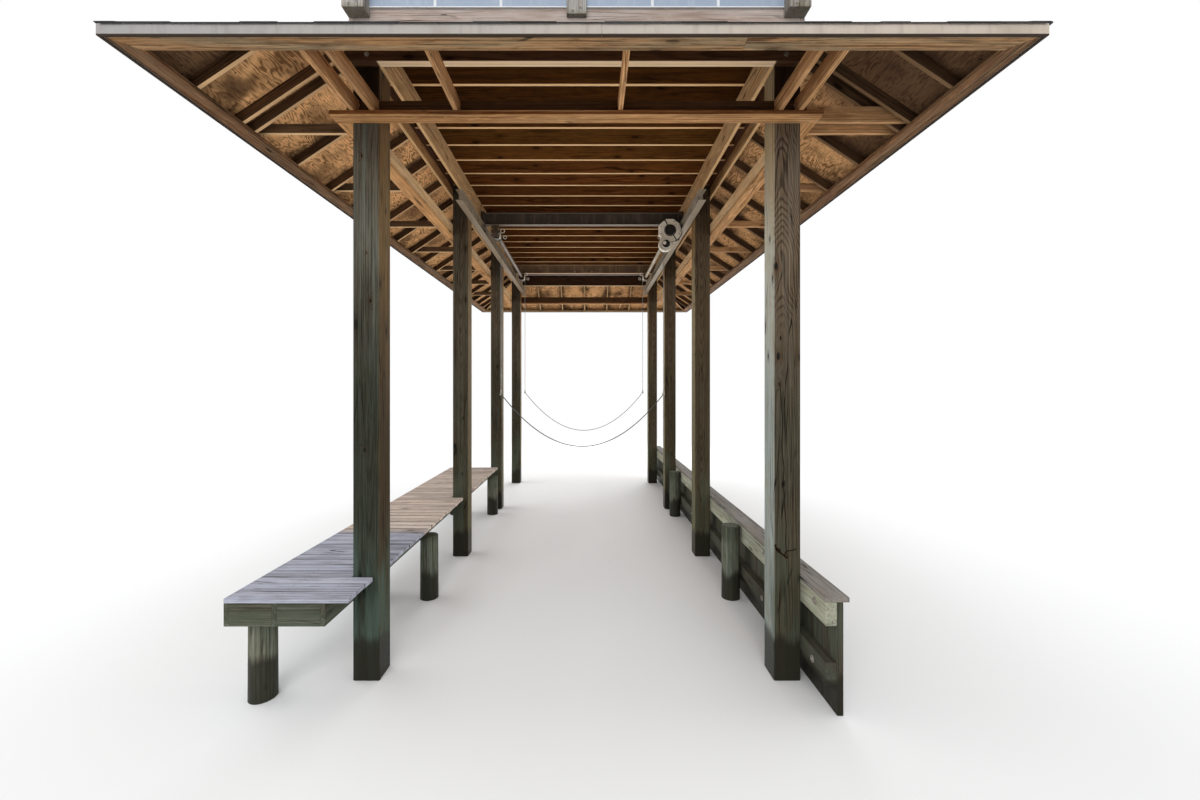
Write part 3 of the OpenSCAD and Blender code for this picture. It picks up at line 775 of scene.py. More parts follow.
# The posts: the head band darkens their tops under the roof, painted shade; the inner colours paint light on the faces
# toward the slip; the grime low down is partly painted shade.
post_wood = timber(
    "post_wood", (0.108, 0.088, 0.062), (0.034, 0.027, 0.018), (0.080, 0.086, 0.070), 0.65, 11, 0.2, 0.9, wet=POST_WET,
    algae=0.65, contrast=0.6, taper=0.02, inner=(0.205, 0.125, 0.050), inner_low=(0.28, 0.27, 0.23), grime_and_shade=1.0,
    fibres=0.6, streaks=0.42, head=(*HEAD, 1.0), slime=(0.075, 0.112, 0.088),
    marks=((-1.905, FRONT, 4.66, 0.010), (-1.828, FRONT, 3.375, 0.010), (-1.865, FRONT, 3.80, 0.008),
           (-1.88, FRONT, 2.05, 0.010), (-1.752, -4.42, 2.72, 0.012)))
far_left_wood = timber(
    "far_left_wood", (0.112, 0.080, 0.050), (0.036, 0.025, 0.015), (0.084, 0.078, 0.056), 0.6, 11, 0.3, 0.9,
    wet=POST_WET, algae=0.45, taper=0.05, inner=(0.270, 0.185, 0.090), grime_and_shade=0.6, fibres=0.6, streaks=0.4,
    head=(*HEAD, 0.25))
right_post_wood = timber(
    "right_post_wood", (0.160, 0.110, 0.070), (0.044, 0.028, 0.016), (0.118, 0.102, 0.078), 0.4, 19, 0.1, 0.75,
    wet=POST_WET, algae=0.55, contrast=1.0, taper=-0.012, inner=(0.490, 0.480, 0.395), inner_low=(0.64, 0.76, 0.88),
    grime_and_shade=0.85, fibres=0.45, streaks=0.3, head=(*HEAD, 1.0), swell=0.03, slime=(0.055, 0.070, 0.050),
    crown=((4.68, 4.92, 0.040), (3.78, 4.45, 0.150), (3.10, 3.58, 0.080)),
    marks=((1.768, FRONT, 3.68, 0.019), (1.808, FRONT, 3.044, 0.009), (1.789, FRONT, 2.881, 0.018),
           (1.982, FRONT, 2.87, 0.018), (1.799, FRONT, 2.634, 0.011), (1.752, -4.485, 3.58, 0.014),
           (1.752, -4.42, 3.95, 0.012), (1.752, -4.38, 2.89, 0.013)))
far_post_wood = timber(
    "far_post_wood", (0.120, 0.080, 0.044), (0.040, 0.026, 0.014), (0.095, 0.078, 0.052), 0.4, 12, 0.25, 0.75,
    wet=POST_WET, algae=0.45, contrast=0.8, taper=0.06, inner=(0.300, 0.235, 0.125), grime_and_shade=0.6, streaks=0.35,
    head=(*HEAD, 0.25))
# The headers' dark colour is painted shade under the roof; their undersides are painted light from below, except over
# the posts.
shaded_header_wood = timber(
    "shaded_header_wood", (0.075, 0.034, 0.016), (0.020, 0.009, 0.004), (0.045, 0.026, 0.014), 0.3, 15, 0.25, 0.5,
    fibres=0.38, lit_underside=(0.95, 0.70, 0.44), lit_span=1.74)
girder_wood = timber(
    "girder_wood", (0.70, 0.425, 0.195), (0.280, 0.135, 0.050), (0.42, 0.285, 0.165), 0.4, 15, 0.4, 0.6,
    **SUNNY, lit_underside=(0.74, 0.465, 0.225), streaks=0.3)
# The side ledgers are the lit copy of the ledger timber: painted light.
lit_side_ledger_wood = timber(
    "lit_side_ledger_wood", (0.88, 0.590, 0.310), (0.420, 0.235, 0.105), (0.62, 0.440, 0.270), 0.4, 15, 0.35, 0.6,
    **SUNNY, streaks=0.3)
# The ring beam's faces toward the front are darker: painted shade.
ring_wood = timber(
    "ring_wood", (0.66, 0.345, 0.135), (0.235, 0.100, 0.034), (0.42, 0.255, 0.125), 0.45, 13, 0.3, 0.6,
    **SUNNY, streaks=0.3, front=(0.42, 0.30, 0.22))
tie_wood = timber(
    "tie_wood", (0.62, 0.345, 0.160), (0.270, 0.130, 0.050), (0.42, 0.270, 0.150), 0.4, 15, 0.28, 0.5, **SUNNY)
# The left ties are a shaded copy of the tie timber, painted shade, with undersides painted light from below.
shaded_tie_wood = timber(
    "shaded_tie_wood", (0.150, 0.085, 0.042), (0.045, 0.024, 0.012), (0.100, 0.065, 0.038), 0.4, 15, 0.28, 0.5,
    contrast=0.8, lit_underside=(0.80, 0.52, 0.27))
# The end ledgers are the shaded copy of the ledger timber: painted shade.
shaded_ledger_wood = timber(
    "shaded_ledger_wood", (0.085, 0.040, 0.016), (0.030, 0.013, 0.006), (0.065, 0.038, 0.020), 0.3, 15, 0.25, 0.5, fibres=0.38)
# Rafter undersides are painted light from below; on the right slope they get less of it, painted shade.
end_rafter_wood = timber(
    "end_rafter_wood", (0.200, 0.112, 0.050), (0.060, 0.030, 0.013), (0.130, 0.084, 0.048), 0.45, 13, 0.35, 0.5,
    lit_underside=(0.66, 0.41, 0.205), streaks=0.2)
right_rafter_wood = timber(
    "right_rafter_wood", (0.115, 0.062, 0.030), (0.030, 0.015, 0.008), (0.075, 0.047, 0.028), 0.45, 13, 0.3, 0.4,
    lit_underside=(0.22, 0.130, 0.065))
rafter_wood = timber(
    "rafter_wood", (0.105, 0.052, 0.023), (0.028, 0.013, 0.006), (0.065, 0.039, 0.022), 0.45, 13, 0.3, 0.4,
    lit_underside=(0.78, 0.50, 0.26))
# Joist undersides are painted light from below; farther back the joists are darker and bluer, painted shade.
joist_wood = timber(
    "joist_wood", (0.320, 0.132, 0.027), (0.080, 0.030, 0.007), (0.170, 0.080, 0.022), 0.4, 16, 0.8, 0.3,
    lit_underside=(0.95, 0.620, 0.320), contrast=0.8, fibres=0.55, far=(-2.8, -1.4, (0.80, 0.66, 0.78)))
near_joist_wood = timber(
    "near_joist_wood", (0.185, 0.066, 0.014), (0.042, 0.016, 0.005), (0.090, 0.038, 0.012), 0.4, 16, 0.7, 0.3,
    lit_underside=(0.90, 0.565, 0.280), contrast=0.65)
eave_wood = timber(
    "eave_wood", (0.370, 0.205, 0.092), (0.095, 0.043, 0.017), (0.225, 0.185, 0.115), 0.65, 13, 0.4, 0.8,
    contrast=0.95, fibres=0.6, mottling=0.6, streaks=0.42)
side_eave_wood = timber(
    "side_eave_wood", (0.290, 0.145, 0.066), (0.070, 0.030, 0.012), (0.165, 0.118, 0.070), 0.5, 13, 0.4, 0.8,
    contrast=0.95, fibres=0.6, mottling=0.6, streaks=0.35)
rim_wood = timber(
    "rim_wood", (0.44, 0.35, 0.30), (0.25, 0.175, 0.135), (0.40, 0.36, 0.335), 0.6, 14, 0.2, 0.7,
    streaks=0.12, inner=(0.20, 0.095, 0.036))
floor_wood = timber(
    "floor_wood", (0.27, 0.22, 0.17), (0.15, 0.115, 0.085), (0.27, 0.25, 0.225), 0.6, 13, 0.25, 0.6, fibres=0.38)
guard_wood = timber(
    "guard_wood", (0.40, 0.365, 0.335), (0.20, 0.165, 0.135), (0.355, 0.350, 0.335), 0.55, 13, 0.15, 0.7, streaks=0.15)
mossy_wood = timber(
    "mossy_wood", (0.38, 0.35, 0.32), (0.19, 0.16, 0.13), (0.34, 0.345, 0.33), 0.6, 13, 0.15, 0.8,
    streaks=0.2, moss=5.90)
# The walkway's blue-grey is painted shade; farther back it turns warmer and lighter, painted sunlight.
walk_wood = timber(
    "walk_wood", (0.430, 0.440, 0.510), (0.175, 0.165, 0.180), (0.440, 0.465, 0.560), 0.6, 12, 0.3, 0.9, fibres=0.55,
    streaks=0.3, joints=(WALK_Y / 1000, WALK_STEP / 1000), far=(-3.35, -3.0, (1.45, 1.16, 0.84)))
pile_wood = timber(
    "pile_wood", (0.170, 0.160, 0.120), (0.042, 0.037, 0.026), (0.150, 0.160, 0.130), 0.6, 10, 0.1, 1.0,
    wet=0.33, algae=0.5, fibres=0.6, streaks=0.6, mottling=0.5, head=(0.66, 0.80, 0.55))
# The upper waler's colour is the sunlit copy of the waler timber and the lower waler's the shaded copy: painted light
# and painted shade.
waler_wood = timber(
    "waler_wood", (0.470, 0.460, 0.350), (0.150, 0.140, 0.095), (0.380, 0.400, 0.320), 0.6, 12, 0.25, 0.9,
    wet=0.28, algae=0.3, streaks=0.3)
shaded_low_waler_wood = timber(
    "shaded_low_waler_wood", (0.075, 0.062, 0.046), (0.028, 0.023, 0.016), (0.070, 0.064, 0.050), 0.6, 12, 0.25, 0.9,
    wet=0.28, algae=0.3, streaks=0.3)
sheet_wood = timber(
    "sheet_wood", (0.066, 0.050, 0.036), (0.024, 0.018, 0.012), (0.060, 0.052, 0.040), 0.6, 14, 0.2, 0.9,
    wet=0.28, algae=0.4, streaks=0.35)
cap_wood = timber(
    "cap_wood", (0.23, 0.205, 0.180), (0.115, 0.098, 0.080), (0.215, 0.205, 0.190), 0.6, 14, 0.2, 0.8, streaks=0.2)

# Posts
for name, y in zip(("front_posts", "second_posts", "third_posts", "rear_posts"), POST_Y):
    front = name == "front_posts"
    for side, x, near, far, heart in (("left", -OUTER, post_wood, far_left_wood, None),
                                      ("right", INNER, right_post_wood, far_post_wood, (-42, -48, 3.0))):
        post = Stock(f"{name}_{side}", near if front else far, "post_timber", name + side, (name,))
        post.board((x, y, 0), (x + POST, y + POST, POST_H), "z", edge=7, bow=0 if front else 3, step=500,
                   pith=heart if front else None)
        post.make()

# Long checks and a branching knot in the front faces of the front posts
check_dark = paint("check_dark", (0.010, 0.008, 0.006), (0.02, 0.014, 0.010), 0.3, 0.9, shine=0.0)
knot_red = paint("knot_red", (0.016, 0.008, 0.005), (0.045, 0.020, 0.011), 0.6, 0.8, shine=0.02)
checks = Stock("front_post_checks", check_dark, "post_timber", 17)
branch = Stock("front_post_branch_knot", knot_red, "post_timber", 18)


def crack(points, wide, stock=checks, face=-ROW, layers=(-0.6, 0.2)):
    """A strip of even width along a line in a plane across y."""
    for (x0, z0), (x1, z1) in zip(points, points[1:]):
        size = math.hypot(x1 - x0, z1 - z0)
        nx, nz = (z0 - z1) / size * wide, (x1 - x0) / size * wide
        flat = [(x0 + nx, z0 + nz), (x1 + nx, z1 + nz), (x1 - nx, z1 - nz), (x0 - nx, z0 - nz)]
        stock.body([[(x, face + d, z) for x, z in flat] for d in layers])


def hair_check(x, low, high, spread, wide):
    """A fine check that wanders a little on its way up."""
    points = []
    z = low
    while z < high:
        points.append((x + checks.random.uniform(-spread, spread), z))
        z += checks.random.uniform(60, 150)
    crack(points, wide)


crack([(1803, 2620), (1812, 2500), (1822, 2370), (1826, 2240), (1818, 2120), (1824, 2010), (1838, 1900), (1832, 1780),
       (1836, 1660), (1846, 1520), (1858, 1380), (1852, 1270), (1858, 1160)], 3.6)
for x, low, high in ((1905, 1850, 2500), (1860, 3150, 3560)):
    hair_check(x, low, high, 4, 0.9)
for x, low, high in ((-1915, 2600, 3500), (-1843, 1500, 2500), (-1872, 3300, 4400), (-1938, 700, 1500),
                     (-1800, 2300, 2800)):
    hair_check(x, low, high, 3, 0.8)
for points, wide in (([(1760, 1214), (1766, 1180), (1782, 1152), (1812, 1134), (1842, 1112), (1864, 1088)], 8.0),
                     ([(1766, 1180), (1790, 1170), (1806, 1148)], 9.0),
                     ([(1842, 1112), (1852, 1146), (1880, 1158), (1914, 1160), (1944, 1172)], 5.0),
                     ([(1860, 1152), (1864, 1120), (1872, 1092)], 4.0)):
    crack(points, wide, branch)
make(checks, branch)

# Headers and girders
for name, sign in (("front_header", -1), ("rear_header", 1)):
    header = Stock(name + "_planks", shaded_header_wood, "header_timber", name, (name,))
    for y in (ROW, ROW + PLANK):
        header.board(*mirror(sign, "y", (-GIRDER_X, y, HEADER_Z), (GIRDER_X, y + PLANK, POST_H)), "x")
    header.make()
SECOND_CUT, THIRD_CUT = [POST_Y[1] + POST / 2], [POST_Y[2] + POST / 2]
both_sides("inner_girder_planks", girder_wood, "header_timber", 21, ("inner_girders",),
           ("x", (INNER - PLANK, -ROW, HEADER_Z), (INNER, ROW, POST_H), THIRD_CUT))
both_sides("outer_girder_planks", girder_wood, "header_timber", 22, ("outer_girders",),
           ("x", (OUTER, -ROW, SIDE_RIM_Z - OUTER_GIRDER_H), (GIRDER_X, ROW, SIDE_RIM_Z), SECOND_CUT))

# Ring beam: a flat plate with a ledger on edge on it
LEDGER_TOP = PLATE_TOP + LEDGER_H
both_sides("ring_beam_planks", ring_wood, "ring_timber", 23, ("ring_beam",),
           ("y", (-PLATE_X, ROW, PLATE_Z), (PLATE_X, ROW + PLATE_W, PLATE_TOP), []),
           ("x", (OUTER, -ROW, PLATE_Z), (PLATE_X, ROW, PLATE_TOP), SECOND_CUT))
both_sides("end_ledger_planks", shaded_ledger_wood, "ring_timber", 24, (),
           ("y", (-GIRDER_X, ROW, PLATE_TOP), (GIRDER_X, ROW + PLANK, LEDGER_TOP), []))
both_sides("side_ledger_planks", lit_side_ledger_wood, "ring_timber", 25, (),
           ("x", (OUTER, -ROW, PLATE_TOP), (GIRDER_X, ROW, LEDGER_TOP), THIRD_CUT))


# Rafters
def ply(u):
    """The two faces of a plank that stands at u."""
    return (u - PLANK / 2, u + PLANK / 2)


def rafter_outline(reach):
    plumb = RAFTER_H / math.cos(SLOPE)
    seat = (plumb - TAIL) / PITCH
    return [(0, EAVE_BOARD_TOP), (seat, EAVE_BOARD_TOP), (reach, roof_z(reach) - plumb), (reach, roof_z(reach)),
            (0, EAVE_TOP)]


def hip_outline(v):
    edge = PLANK / 2
    end = OVERHANG * math.sqrt(2) + abs(v)
    seat = edge + (HIP_PLUMB - TAIL) / HIP_PITCH
    top = EAVE_TOP + HIP_PITCH * (end - edge)
    return [(edge, EAVE_BOARD_TOP), (seat, EAVE_BOARD_TOP), (end, top - HIP_PLUMB), (end, top), (edge, EAVE_TOP)]


for name, place, half, places, wood in (("rafters_front", on_front, HALF_W, end_places(), end_rafter_wood),
                                        ("rafters_rear", on_rear, HALF_W, end_places(), end_rafter_wood),
                                        ("rafters_left", mirrored_right, HALF_L, side_places(), rafter_wood),
                                        ("rafters_right", on_right, HALF_L, side_places(), right_rafter_wood)):
    rafters = Stock(name + "_planks", wood, "rafter_timber", name, (name,))
    jack = end_rafter(half) + JACK_STEP
    for u in places:
        rafters.prism(lambda v: rafter_outline(OVERHANG), ply(u), place, SLOPE)
    for u in (-jack, jack):
        rafters.prism(lambda v: rafter_outline(half - HIP_SIDE - abs(v)), ply(u), place, SLOPE)
    rafters.make()

hips = Stock("hip_rafter_planks", rafter_wood, "rafter_timber", 31, ("hip_rafters",))
DIAGONAL = math.sqrt(0.5)
for sx, sy in CORNERS:
    hips.prism(hip_outline, (-PLANK / 2, 0, PLANK / 2),
               lambda v, s, z: (sx * (HALF_W - (s - v) * DIAGONAL), sy * (HALF_L - (s + v) * DIAGONAL), z),
               math.atan(HIP_PITCH))
hips.make()

# Ties
ties = Stock("eave_tie_planks", tie_wood, "ring_timber", 41, ("eave_ties",))
shaded_ties = Stock("shaded_tie_planks", shaded_tie_wood, "ring_timber", 42)
TIE_GAP, POST_TIE_GAP, INNER_TIE_GAP, END_TIE_H, SIDE_TIE_H = 93, 46, 223, 140, 89


def tie(stock, place, u, height, reach):
    """A level tie from the plate's top, with its outer end cut to the slope."""
    low, high = ((z - EAVE_TOP) / PITCH for z in (PLATE_TOP, PLATE_TOP + height))
    outline = [(low, PLATE_TOP), (reach, PLATE_TOP), (reach, PLATE_TOP + height), (high, PLATE_TOP + height)]
    stock.prism(lambda v: outline, ply(u), place)


places, last = end_places(), end_rafter(HALF_W)
for u in (-last + POST_TIE_GAP, -last + INNER_TIE_GAP, places[1] + 3 * TIE_GAP, places[-3] - 3 * TIE_GAP,
          last - INNER_TIE_GAP, last - POST_TIE_GAP):
    for place in (on_front, on_rear):
        tie(ties, place, u, END_TIE_H, OVERHANG + PLANK)
for u in side_places()[1:-1:2]:
    for place, stock in ((on_right, ties), (mirrored_right, shaded_ties)):
        tie(stock, place, u + (TIE_GAP + PLANK), SIDE_TIE_H, OVERHANG)
tie(ties, on_right, TIE_GAP - end_rafter(HALF_L), END_TIE_H, OVERHANG)
make(ties, shaded_ties)


# Eave boards and fascia, mitred at the corners and cut into lengths
def flat_run(stock, place, half, cuts, width, z0, z1, out=0.0, gap=1.5, edge=2.0):
    """Flat boards along one eave; width is inwards from out beyond the eave."""
    marks = [None] + list(cuts) + [None]
    for a, b in zip(marks, marks[1:]):
        sides = []
        for r in (-out, -out + width):
            sides.append([(-half + r if a is None else a + gap / 2, r), (half - r if b is None else b - gap / 2, r)])
        outline = sides[0] + sides[1][::-1]
        pb, pc, start = stock.pith(width, z1 - z0)
        rings, grains = [], []
        for z, e in ((z0, edge), (z0 + edge, 0), (z1 - edge, 0), (z1, edge)):
            flat = inset(outline, e) if e else outline
            rings.append([place(u, r, z) for u, r in flat])
            grains.append([(start + u / 1000, (r - width / 2 - pb) / 1000, (z - z0 - pc) / 1000) for u, r in flat])
        stock.body(rings, grains)


eaves = Stock("eave_board_planks", eave_wood, "eave_timber", 51, ("eave_boards",))
side_eaves = Stock("side_eave_planks", side_eave_wood, "eave_timber", 53)
# The fascia is darker and bluer towards its left end, painted shade, with a painted shadow line along its foot.
fascia_paint = paint("fascia_paint", (0.45, 0.386, 0.322), (0.27, 0.222, 0.175), 0.4, 0.8,
                     tone=(0, 3.0, -3.0, (0.64, 0.72, 0.83)), shadow_foot=(EAVE_Z - 1) / 1000, shine=0.1)
fascia = Stock("eave_fascia_boards", fascia_paint, "fascia_paint", 52, ("eave_fascia",))
EAVE_CUTS = ([1150], [-900], [-2100, 1700], [-1500, 2300])
FASCIA_CUTS = ([190], [-400], [-3300, 300, 3600], [-2900, 700, 3900])
for (place, half), eave_cuts, fascia_cuts in zip(SLOPES, EAVE_CUTS, FASCIA_CUTS):
    flat_run(eaves if half == HALF_W else side_eaves, place, half, eave_cuts, EAVE_W, EAVE_Z, EAVE_BOARD_TOP)
    flat_run(fascia, place, half, fascia_cuts, FASCIA, EAVE_Z - 12, EAVE_TOP + SHEATHING_PLUMB, out=FASCIA, gap=2.0,
             edge=1.5)
make(eaves, side_eaves, fascia)


def dress(name, look):
    """Gives the part's own solids a look, where they stay in view."""
    NODES[name].data.materials.clear()
    NODES[name].data.materials.append(look)


# Sheathing keeps its own solids
first, second = end_places()[:2]
END_GRID = (first / 1000, (second - first) / 1000)
SIDE_GRID = ((RAFTER_START - end_rafter(HALF_L)) / 1000, RAFTER_PITCH / 1000)
# The right slope is darker and has more of the mould pattern: painted shade.
for side, swap, light, mould_and_shade in (("front", False, 1.0, 0.0), ("rear", False, 1.02, 0.0), ("left", True, 1.02, 0.0),
                                 ("right", True, 0.80, 0.06)):
    name = "sheathing_" + side
    dress(name, panel(name + "_panel", times(light, (0.98, 0.550, 0.245)), (0.225, 0.105, 0.040), swap,
                      *(SIDE_GRID if swap else END_GRID), mould_and_shade))

# Shingles: courses of tabs over a thin skin
shingle_look = mineral("shingle_look", (0.020, 0.020, 0.021), (0.075, 0.075, 0.078))
shingles = Stock("roof_shingle_courses", shingle_look, "shingle", 61, ("roof_shingles",))
LIP, EXPOSURE, COURSES = 34, 143, 9
cs = math.cos(SLOPE)
for place, half in SLOPES:
    for course in range(COURSES):
        low_edge = course * EXPOSURE
        high_edge = min(low_edge + EXPOSURE + 30, (OVERHANG + LIP) / cs)
        u = -half - LIP - shingles.random.uniform(0, 300)
        while u < half + LIP:
            tab = shingles.random.choice((150, 190, 240, 305))
            thick = shingles.random.choice((5.0, 8.5))
            drop = shingles.random.uniform(0, 5 if course else 3)
            ends = []
            for run in ((low_edge + drop) * cs - LIP, high_edge * cs - LIP):
                ends.append((max(u + 1.5, run - half), min(u + tab - 1.5, half - run), run))
            u += tab
            if any(right - left < 5 for left, right, run in ends):
                continue
            rings = []
            for rises in ((0.5, 0.5), (thick * 1.25 + 0.5, thick * 0.25 * 1.25 + 0.5)):
                (l0, r0, run0, z0), (l1, r1, run1, z1) = [(*end, over_roof(end[2]) + rise)
                                                          for end, rise in zip(ends, rises)]
                rings.append([place(l0, run0, z0), place(r0, run0, z0), place(r1, run1, z1), place(l1, run1, z1)])
            shingles.body(rings)
shingles.make()

# Caps over the hips, lapped up the roof, and metal flashing round its head
caps = Stock("hip_caps", shingle_look, "shingle", 62)
CAP_HALF, CAP_STEP = 120, 143
for sx, sy in CORNERS:
    run = 6 - LIP
    while run < OVERHANG - 60:
        rings = []
        for lift in (0.5, 6.0):
            edges = []
            for r, rise in ((run, 6.0), (min(run + CAP_STEP + 25, OVERHANG - 12), 0.5)):
                z = over_roof(r) + (2.0 if run < 0 else 9.0) + rise + lift
                edges.append([(sx * (HALF_W - a), sy * (HALF_L - b), z)
                              for a, b in ((r + CAP_HALF, r), (r, r), (r, r + CAP_HALF))])
            rings.append(edges[0] + edges[1][::-1])
        caps.body(rings)
        run += CAP_STEP
caps.make()
flashing_metal = paint("flashing_metal", (0.33, 0.34, 0.34), (0.16, 0.14, 0.12), 0.5, 0.45, metallic=0.5)
flashing = Stock("head_flashing", flashing_metal, "band_metal", 63)
for place, half in SLOPES:
    low, high = OVERHANG - 95, OVERHANG - 2
    flashing.body([[place(side * (half - run), run, over_roof(run) + lift)
                    for run, side in ((low, -1), (low, 1), (high, 1), (high, -1))] for lift in (14.0, 15.5)])
    top = over_roof(OVERHANG) + 15
    flashing.body([[place(side * (half - run), run, z)
                    for side, z in ((-1, top - 6), (1, top - 6), (1, top + 42), (-1, top + 42))]
                   for run in (OVERHANG - 0.5, OVERHANG - 2.0)])
flashing.make()

# Deck: joists, rims and boards
joists = Stock("deck_joists", joist_wood, "joist_timber", 71, ("deck_frame",))
near_joists = Stock("near_deck_joists", near_joist_wood, "joist_timber", 74)
y = -DECK_Y + FIRST_JOIST
while y <= DECK_Y - 2 * PLANK:
    stock = near_joists if y < -2900 else joists
    stock.board((-OUTER, y - PLANK / 2, POST_H), (OUTER, y + PLANK / 2, JOIST_TOP), "x", bow=1.5)
    y += JOIST_PITCH
make(joists, near_joists)
both_sides("deck_rims", rim_wood, "joist_timber", 72, (),
           ("y", (-OUTER, DECK_Y - PLANK, POST_H), (OUTER, DECK_Y, JOIST_TOP), []),
           ("x", (OUTER, -DECK_Y, SIDE_RIM_Z), (DECK_X, DECK_Y, JOIST_TOP), [-1200, 2400]), bow=0.5)
floor_boards = Stock("deck_floor_boards", floor_wood, "deck_timber", 73, ("deck_floor",))
FLOOR_BOARDS = 27
width = 2 * DECK_X / FLOOR_BOARDS
for i in range(FLOOR_BOARDS):
    cut = -DECK_Y + FIRST_JOIST + JOIST_PITCH * floor_boards.random.choice((7, 9, 11, 12, 14))
    x = -DECK_X + i * width
    x0, x1 = x + (2.5 if i else 0), x + width - (2.5 if i < FLOOR_BOARDS - 1 else 0)
    floor_boards.run((x0, -DECK_Y, JOIST_TOP), (x1, DECK_Y, DECK_TOP), "y", [cut], bow=0.5)
floor_boards.make()

# The guard's places
CORNER_W, CORNER_D, MID_W, MID_D, RAIL_W = 190, 130, 174, 52, 140
BALUSTER, BALUSTER_GAP, SUBRAIL, BAND_H, BAND_OUT = 35, 95, 64, 140, 16
GUARD_BAY, GUARD_DROP = 2300, 87
GUARD_FOOT = JOIST_TOP - GUARD_DROP
RAIL_Z = GUARD_TOP - PLANK
LOW_RAIL = DECK_TOP + BAND_H - PLANK + BALUSTER
HIGH_RAIL = RAIL_Z - SUBRAIL


def guard_places(half):
    bays = math.ceil(2 * half / GUARD_BAY)
    return [-half + 2 * half * i / bays for i in range(1, bays)]


def guard_bays(half, corner):
    """The stretches between a guard's posts."""
    marks = [corner - half] + [m + s * MID_W / 2 for m in guard_places(half) for s in (-1, 1)] + [half - corner]
    return list(zip(marks[::2], marks[1::2]))


# The pale band round the deck keeps its own solids and gets a white lip and seams between its sheets
dress("rim_band", paint("band_look", (0.24, 0.295, 0.38), (0.37, 0.42, 0.49), 0.5, 0.5, lines=16))
lip_paint = paint("lip_paint", (0.62, 0.64, 0.66), (0.36, 0.34, 0.30), 0.4, 0.5)
lip = Stock("band_lip_and_seams", lip_paint, "band_metal", 75)
LIP_LOW, LIP_TOP, LIP_OUT = JOIST_TOP - 7, JOIST_TOP + 3, BAND_OUT + 4
SEAMS, SEAM_FIRST, SEAM_PITCH, SEAM_HALF, SEAM_CLEAR = 12, 380, 752, 12, 110
SEAM_IN, SEAM_OUT, SEAM_TOP = BAND_OUT - 1, BAND_OUT + 1, JOIST_TOP + BAND_H
for sign in (-1, 1):
    for x0, x1 in guard_bays(DECK_X, CORNER_W):
        lip.plate(*mirror(sign, "y", (x0, DECK_Y, LIP_LOW), (x1, DECK_Y + LIP_OUT, LIP_TOP)))
        for k in (1, 2):
            x = x0 + (x1 - x0) * k / 3
            lip.plate(*mirror(sign, "y", (x - SEAM_HALF, DECK_Y + SEAM_IN, LIP_TOP),
                              (x + SEAM_HALF, DECK_Y + SEAM_OUT, SEAM_TOP)))
    for k in range(SEAMS):
        y = -DECK_Y + SEAM_FIRST + SEAM_PITCH * k
        if min(abs(y - m) for m in guard_places(DECK_Y)) > SEAM_CLEAR:
            lip.plate(*mirror(sign, "x", (DECK_X + SEAM_IN, y - SEAM_HALF, LIP_TOP),
                              (DECK_X + SEAM_OUT, y + SEAM_HALF, SEAM_TOP)))
    for y0, y1 in guard_bays(DECK_Y, 0):
        lip.plate(*mirror(sign, "x", (DECK_X, y0, LIP_LOW), (DECK_X + LIP_OUT, y1, LIP_TOP)))
lip.make()

# Guard
guard_posts = Stock("guard_post_timbers", mossy_wood, "guard_timber", 81, ("guard_posts",))
for sx, sy in CORNERS:
    low, high = mirror(sx, "x", (DECK_X - CORNER_W, DECK_Y, GUARD_FOOT), (DECK_X, DECK_Y + CORNER_D, RAIL_Z))
    guard_posts.board(*mirror(sy, "y", low, high), "z", edge=4)
for sign in (-1, 1):
    for u in guard_places(DECK_X):
        guard_posts.board(*mirror(sign, "y", (u - MID_W / 2, DECK_Y, GUARD_FOOT),
                                  (u + MID_W / 2, DECK_Y + MID_D, RAIL_Z)), "z", edge=4)
    for u in guard_places(DECK_Y):
        guard_posts.board(*mirror(sign, "x", (DECK_X, u - MID_W / 2, GUARD_FOOT),
                                  (DECK_X + MID_D, u + MID_W / 2, RAIL_Z)), "z", edge=4)
guard_posts.make()


def guard_panel(stock, axis, sign, face, u0, u1):
    """Two rails and their balusters along an axis; face is their outer face's distance from the middle."""
    def put(u, depth, z, grain):
        d = sorted(sign * (face - v) for v in depth)
        low, high = [((u[k], d[k], z[k]) if axis == "x" else (d[k], u[k], z[k])) for k in (0, 1)]
        stock.board(low, high, grain, edge=2, bow=0.4)

    for z in (LOW_RAIL, HIGH_RAIL):
        put((u0, u1), (0, PLANK), (z, z + SUBRAIL), axis)
    number = math.floor((u1 - u0 - BALUSTER_GAP) / (BALUSTER + BALUSTER_GAP))
    step = (u1 - u0 + BALUSTER) / (number + 1)
    for i in range(1, number + 1):
        u = u0 - BALUSTER + i * step
        put((u, u + BALUSTER), (1, BALUSTER), (LOW_RAIL + SUBRAIL, HIGH_RAIL), "z")


rail_end = DECK_Y + CORNER_D - RAIL_W
for name, sign in (("guard_front", -1), ("guard_rear", 1)):
    stock = Stock(name + "_timbers", guard_wood, "guard_timber", name, (name,))
    for x0, x1 in guard_bays(DECK_X, CORNER_W):
        guard_panel(stock, "x", sign, DECK_Y + (MID_D + PLANK) / 2, x0, x1)
    stock.board(*mirror(sign, "y", (-DECK_X, rail_end, RAIL_Z), (DECK_X, DECK_Y + CORNER_D, GUARD_TOP)), "x", bow=0)
    stock.make()
for name, sign in (("guard_left", -1), ("guard_right", 1)):
    stock = Stock(name + "_timbers", guard_wood, "guard_timber", name, (name,))
    guard_panel(stock, "y", sign, DECK_X, -DECK_Y, DECK_Y)
    stock.run(*mirror(sign, "x", (DECK_X + MID_D - RAIL_W, -rail_end, RAIL_Z), (DECK_X + MID_D, rail_end, GUARD_TOP)),
              "y", [-1500, 2200], bow=0)
    stock.make()

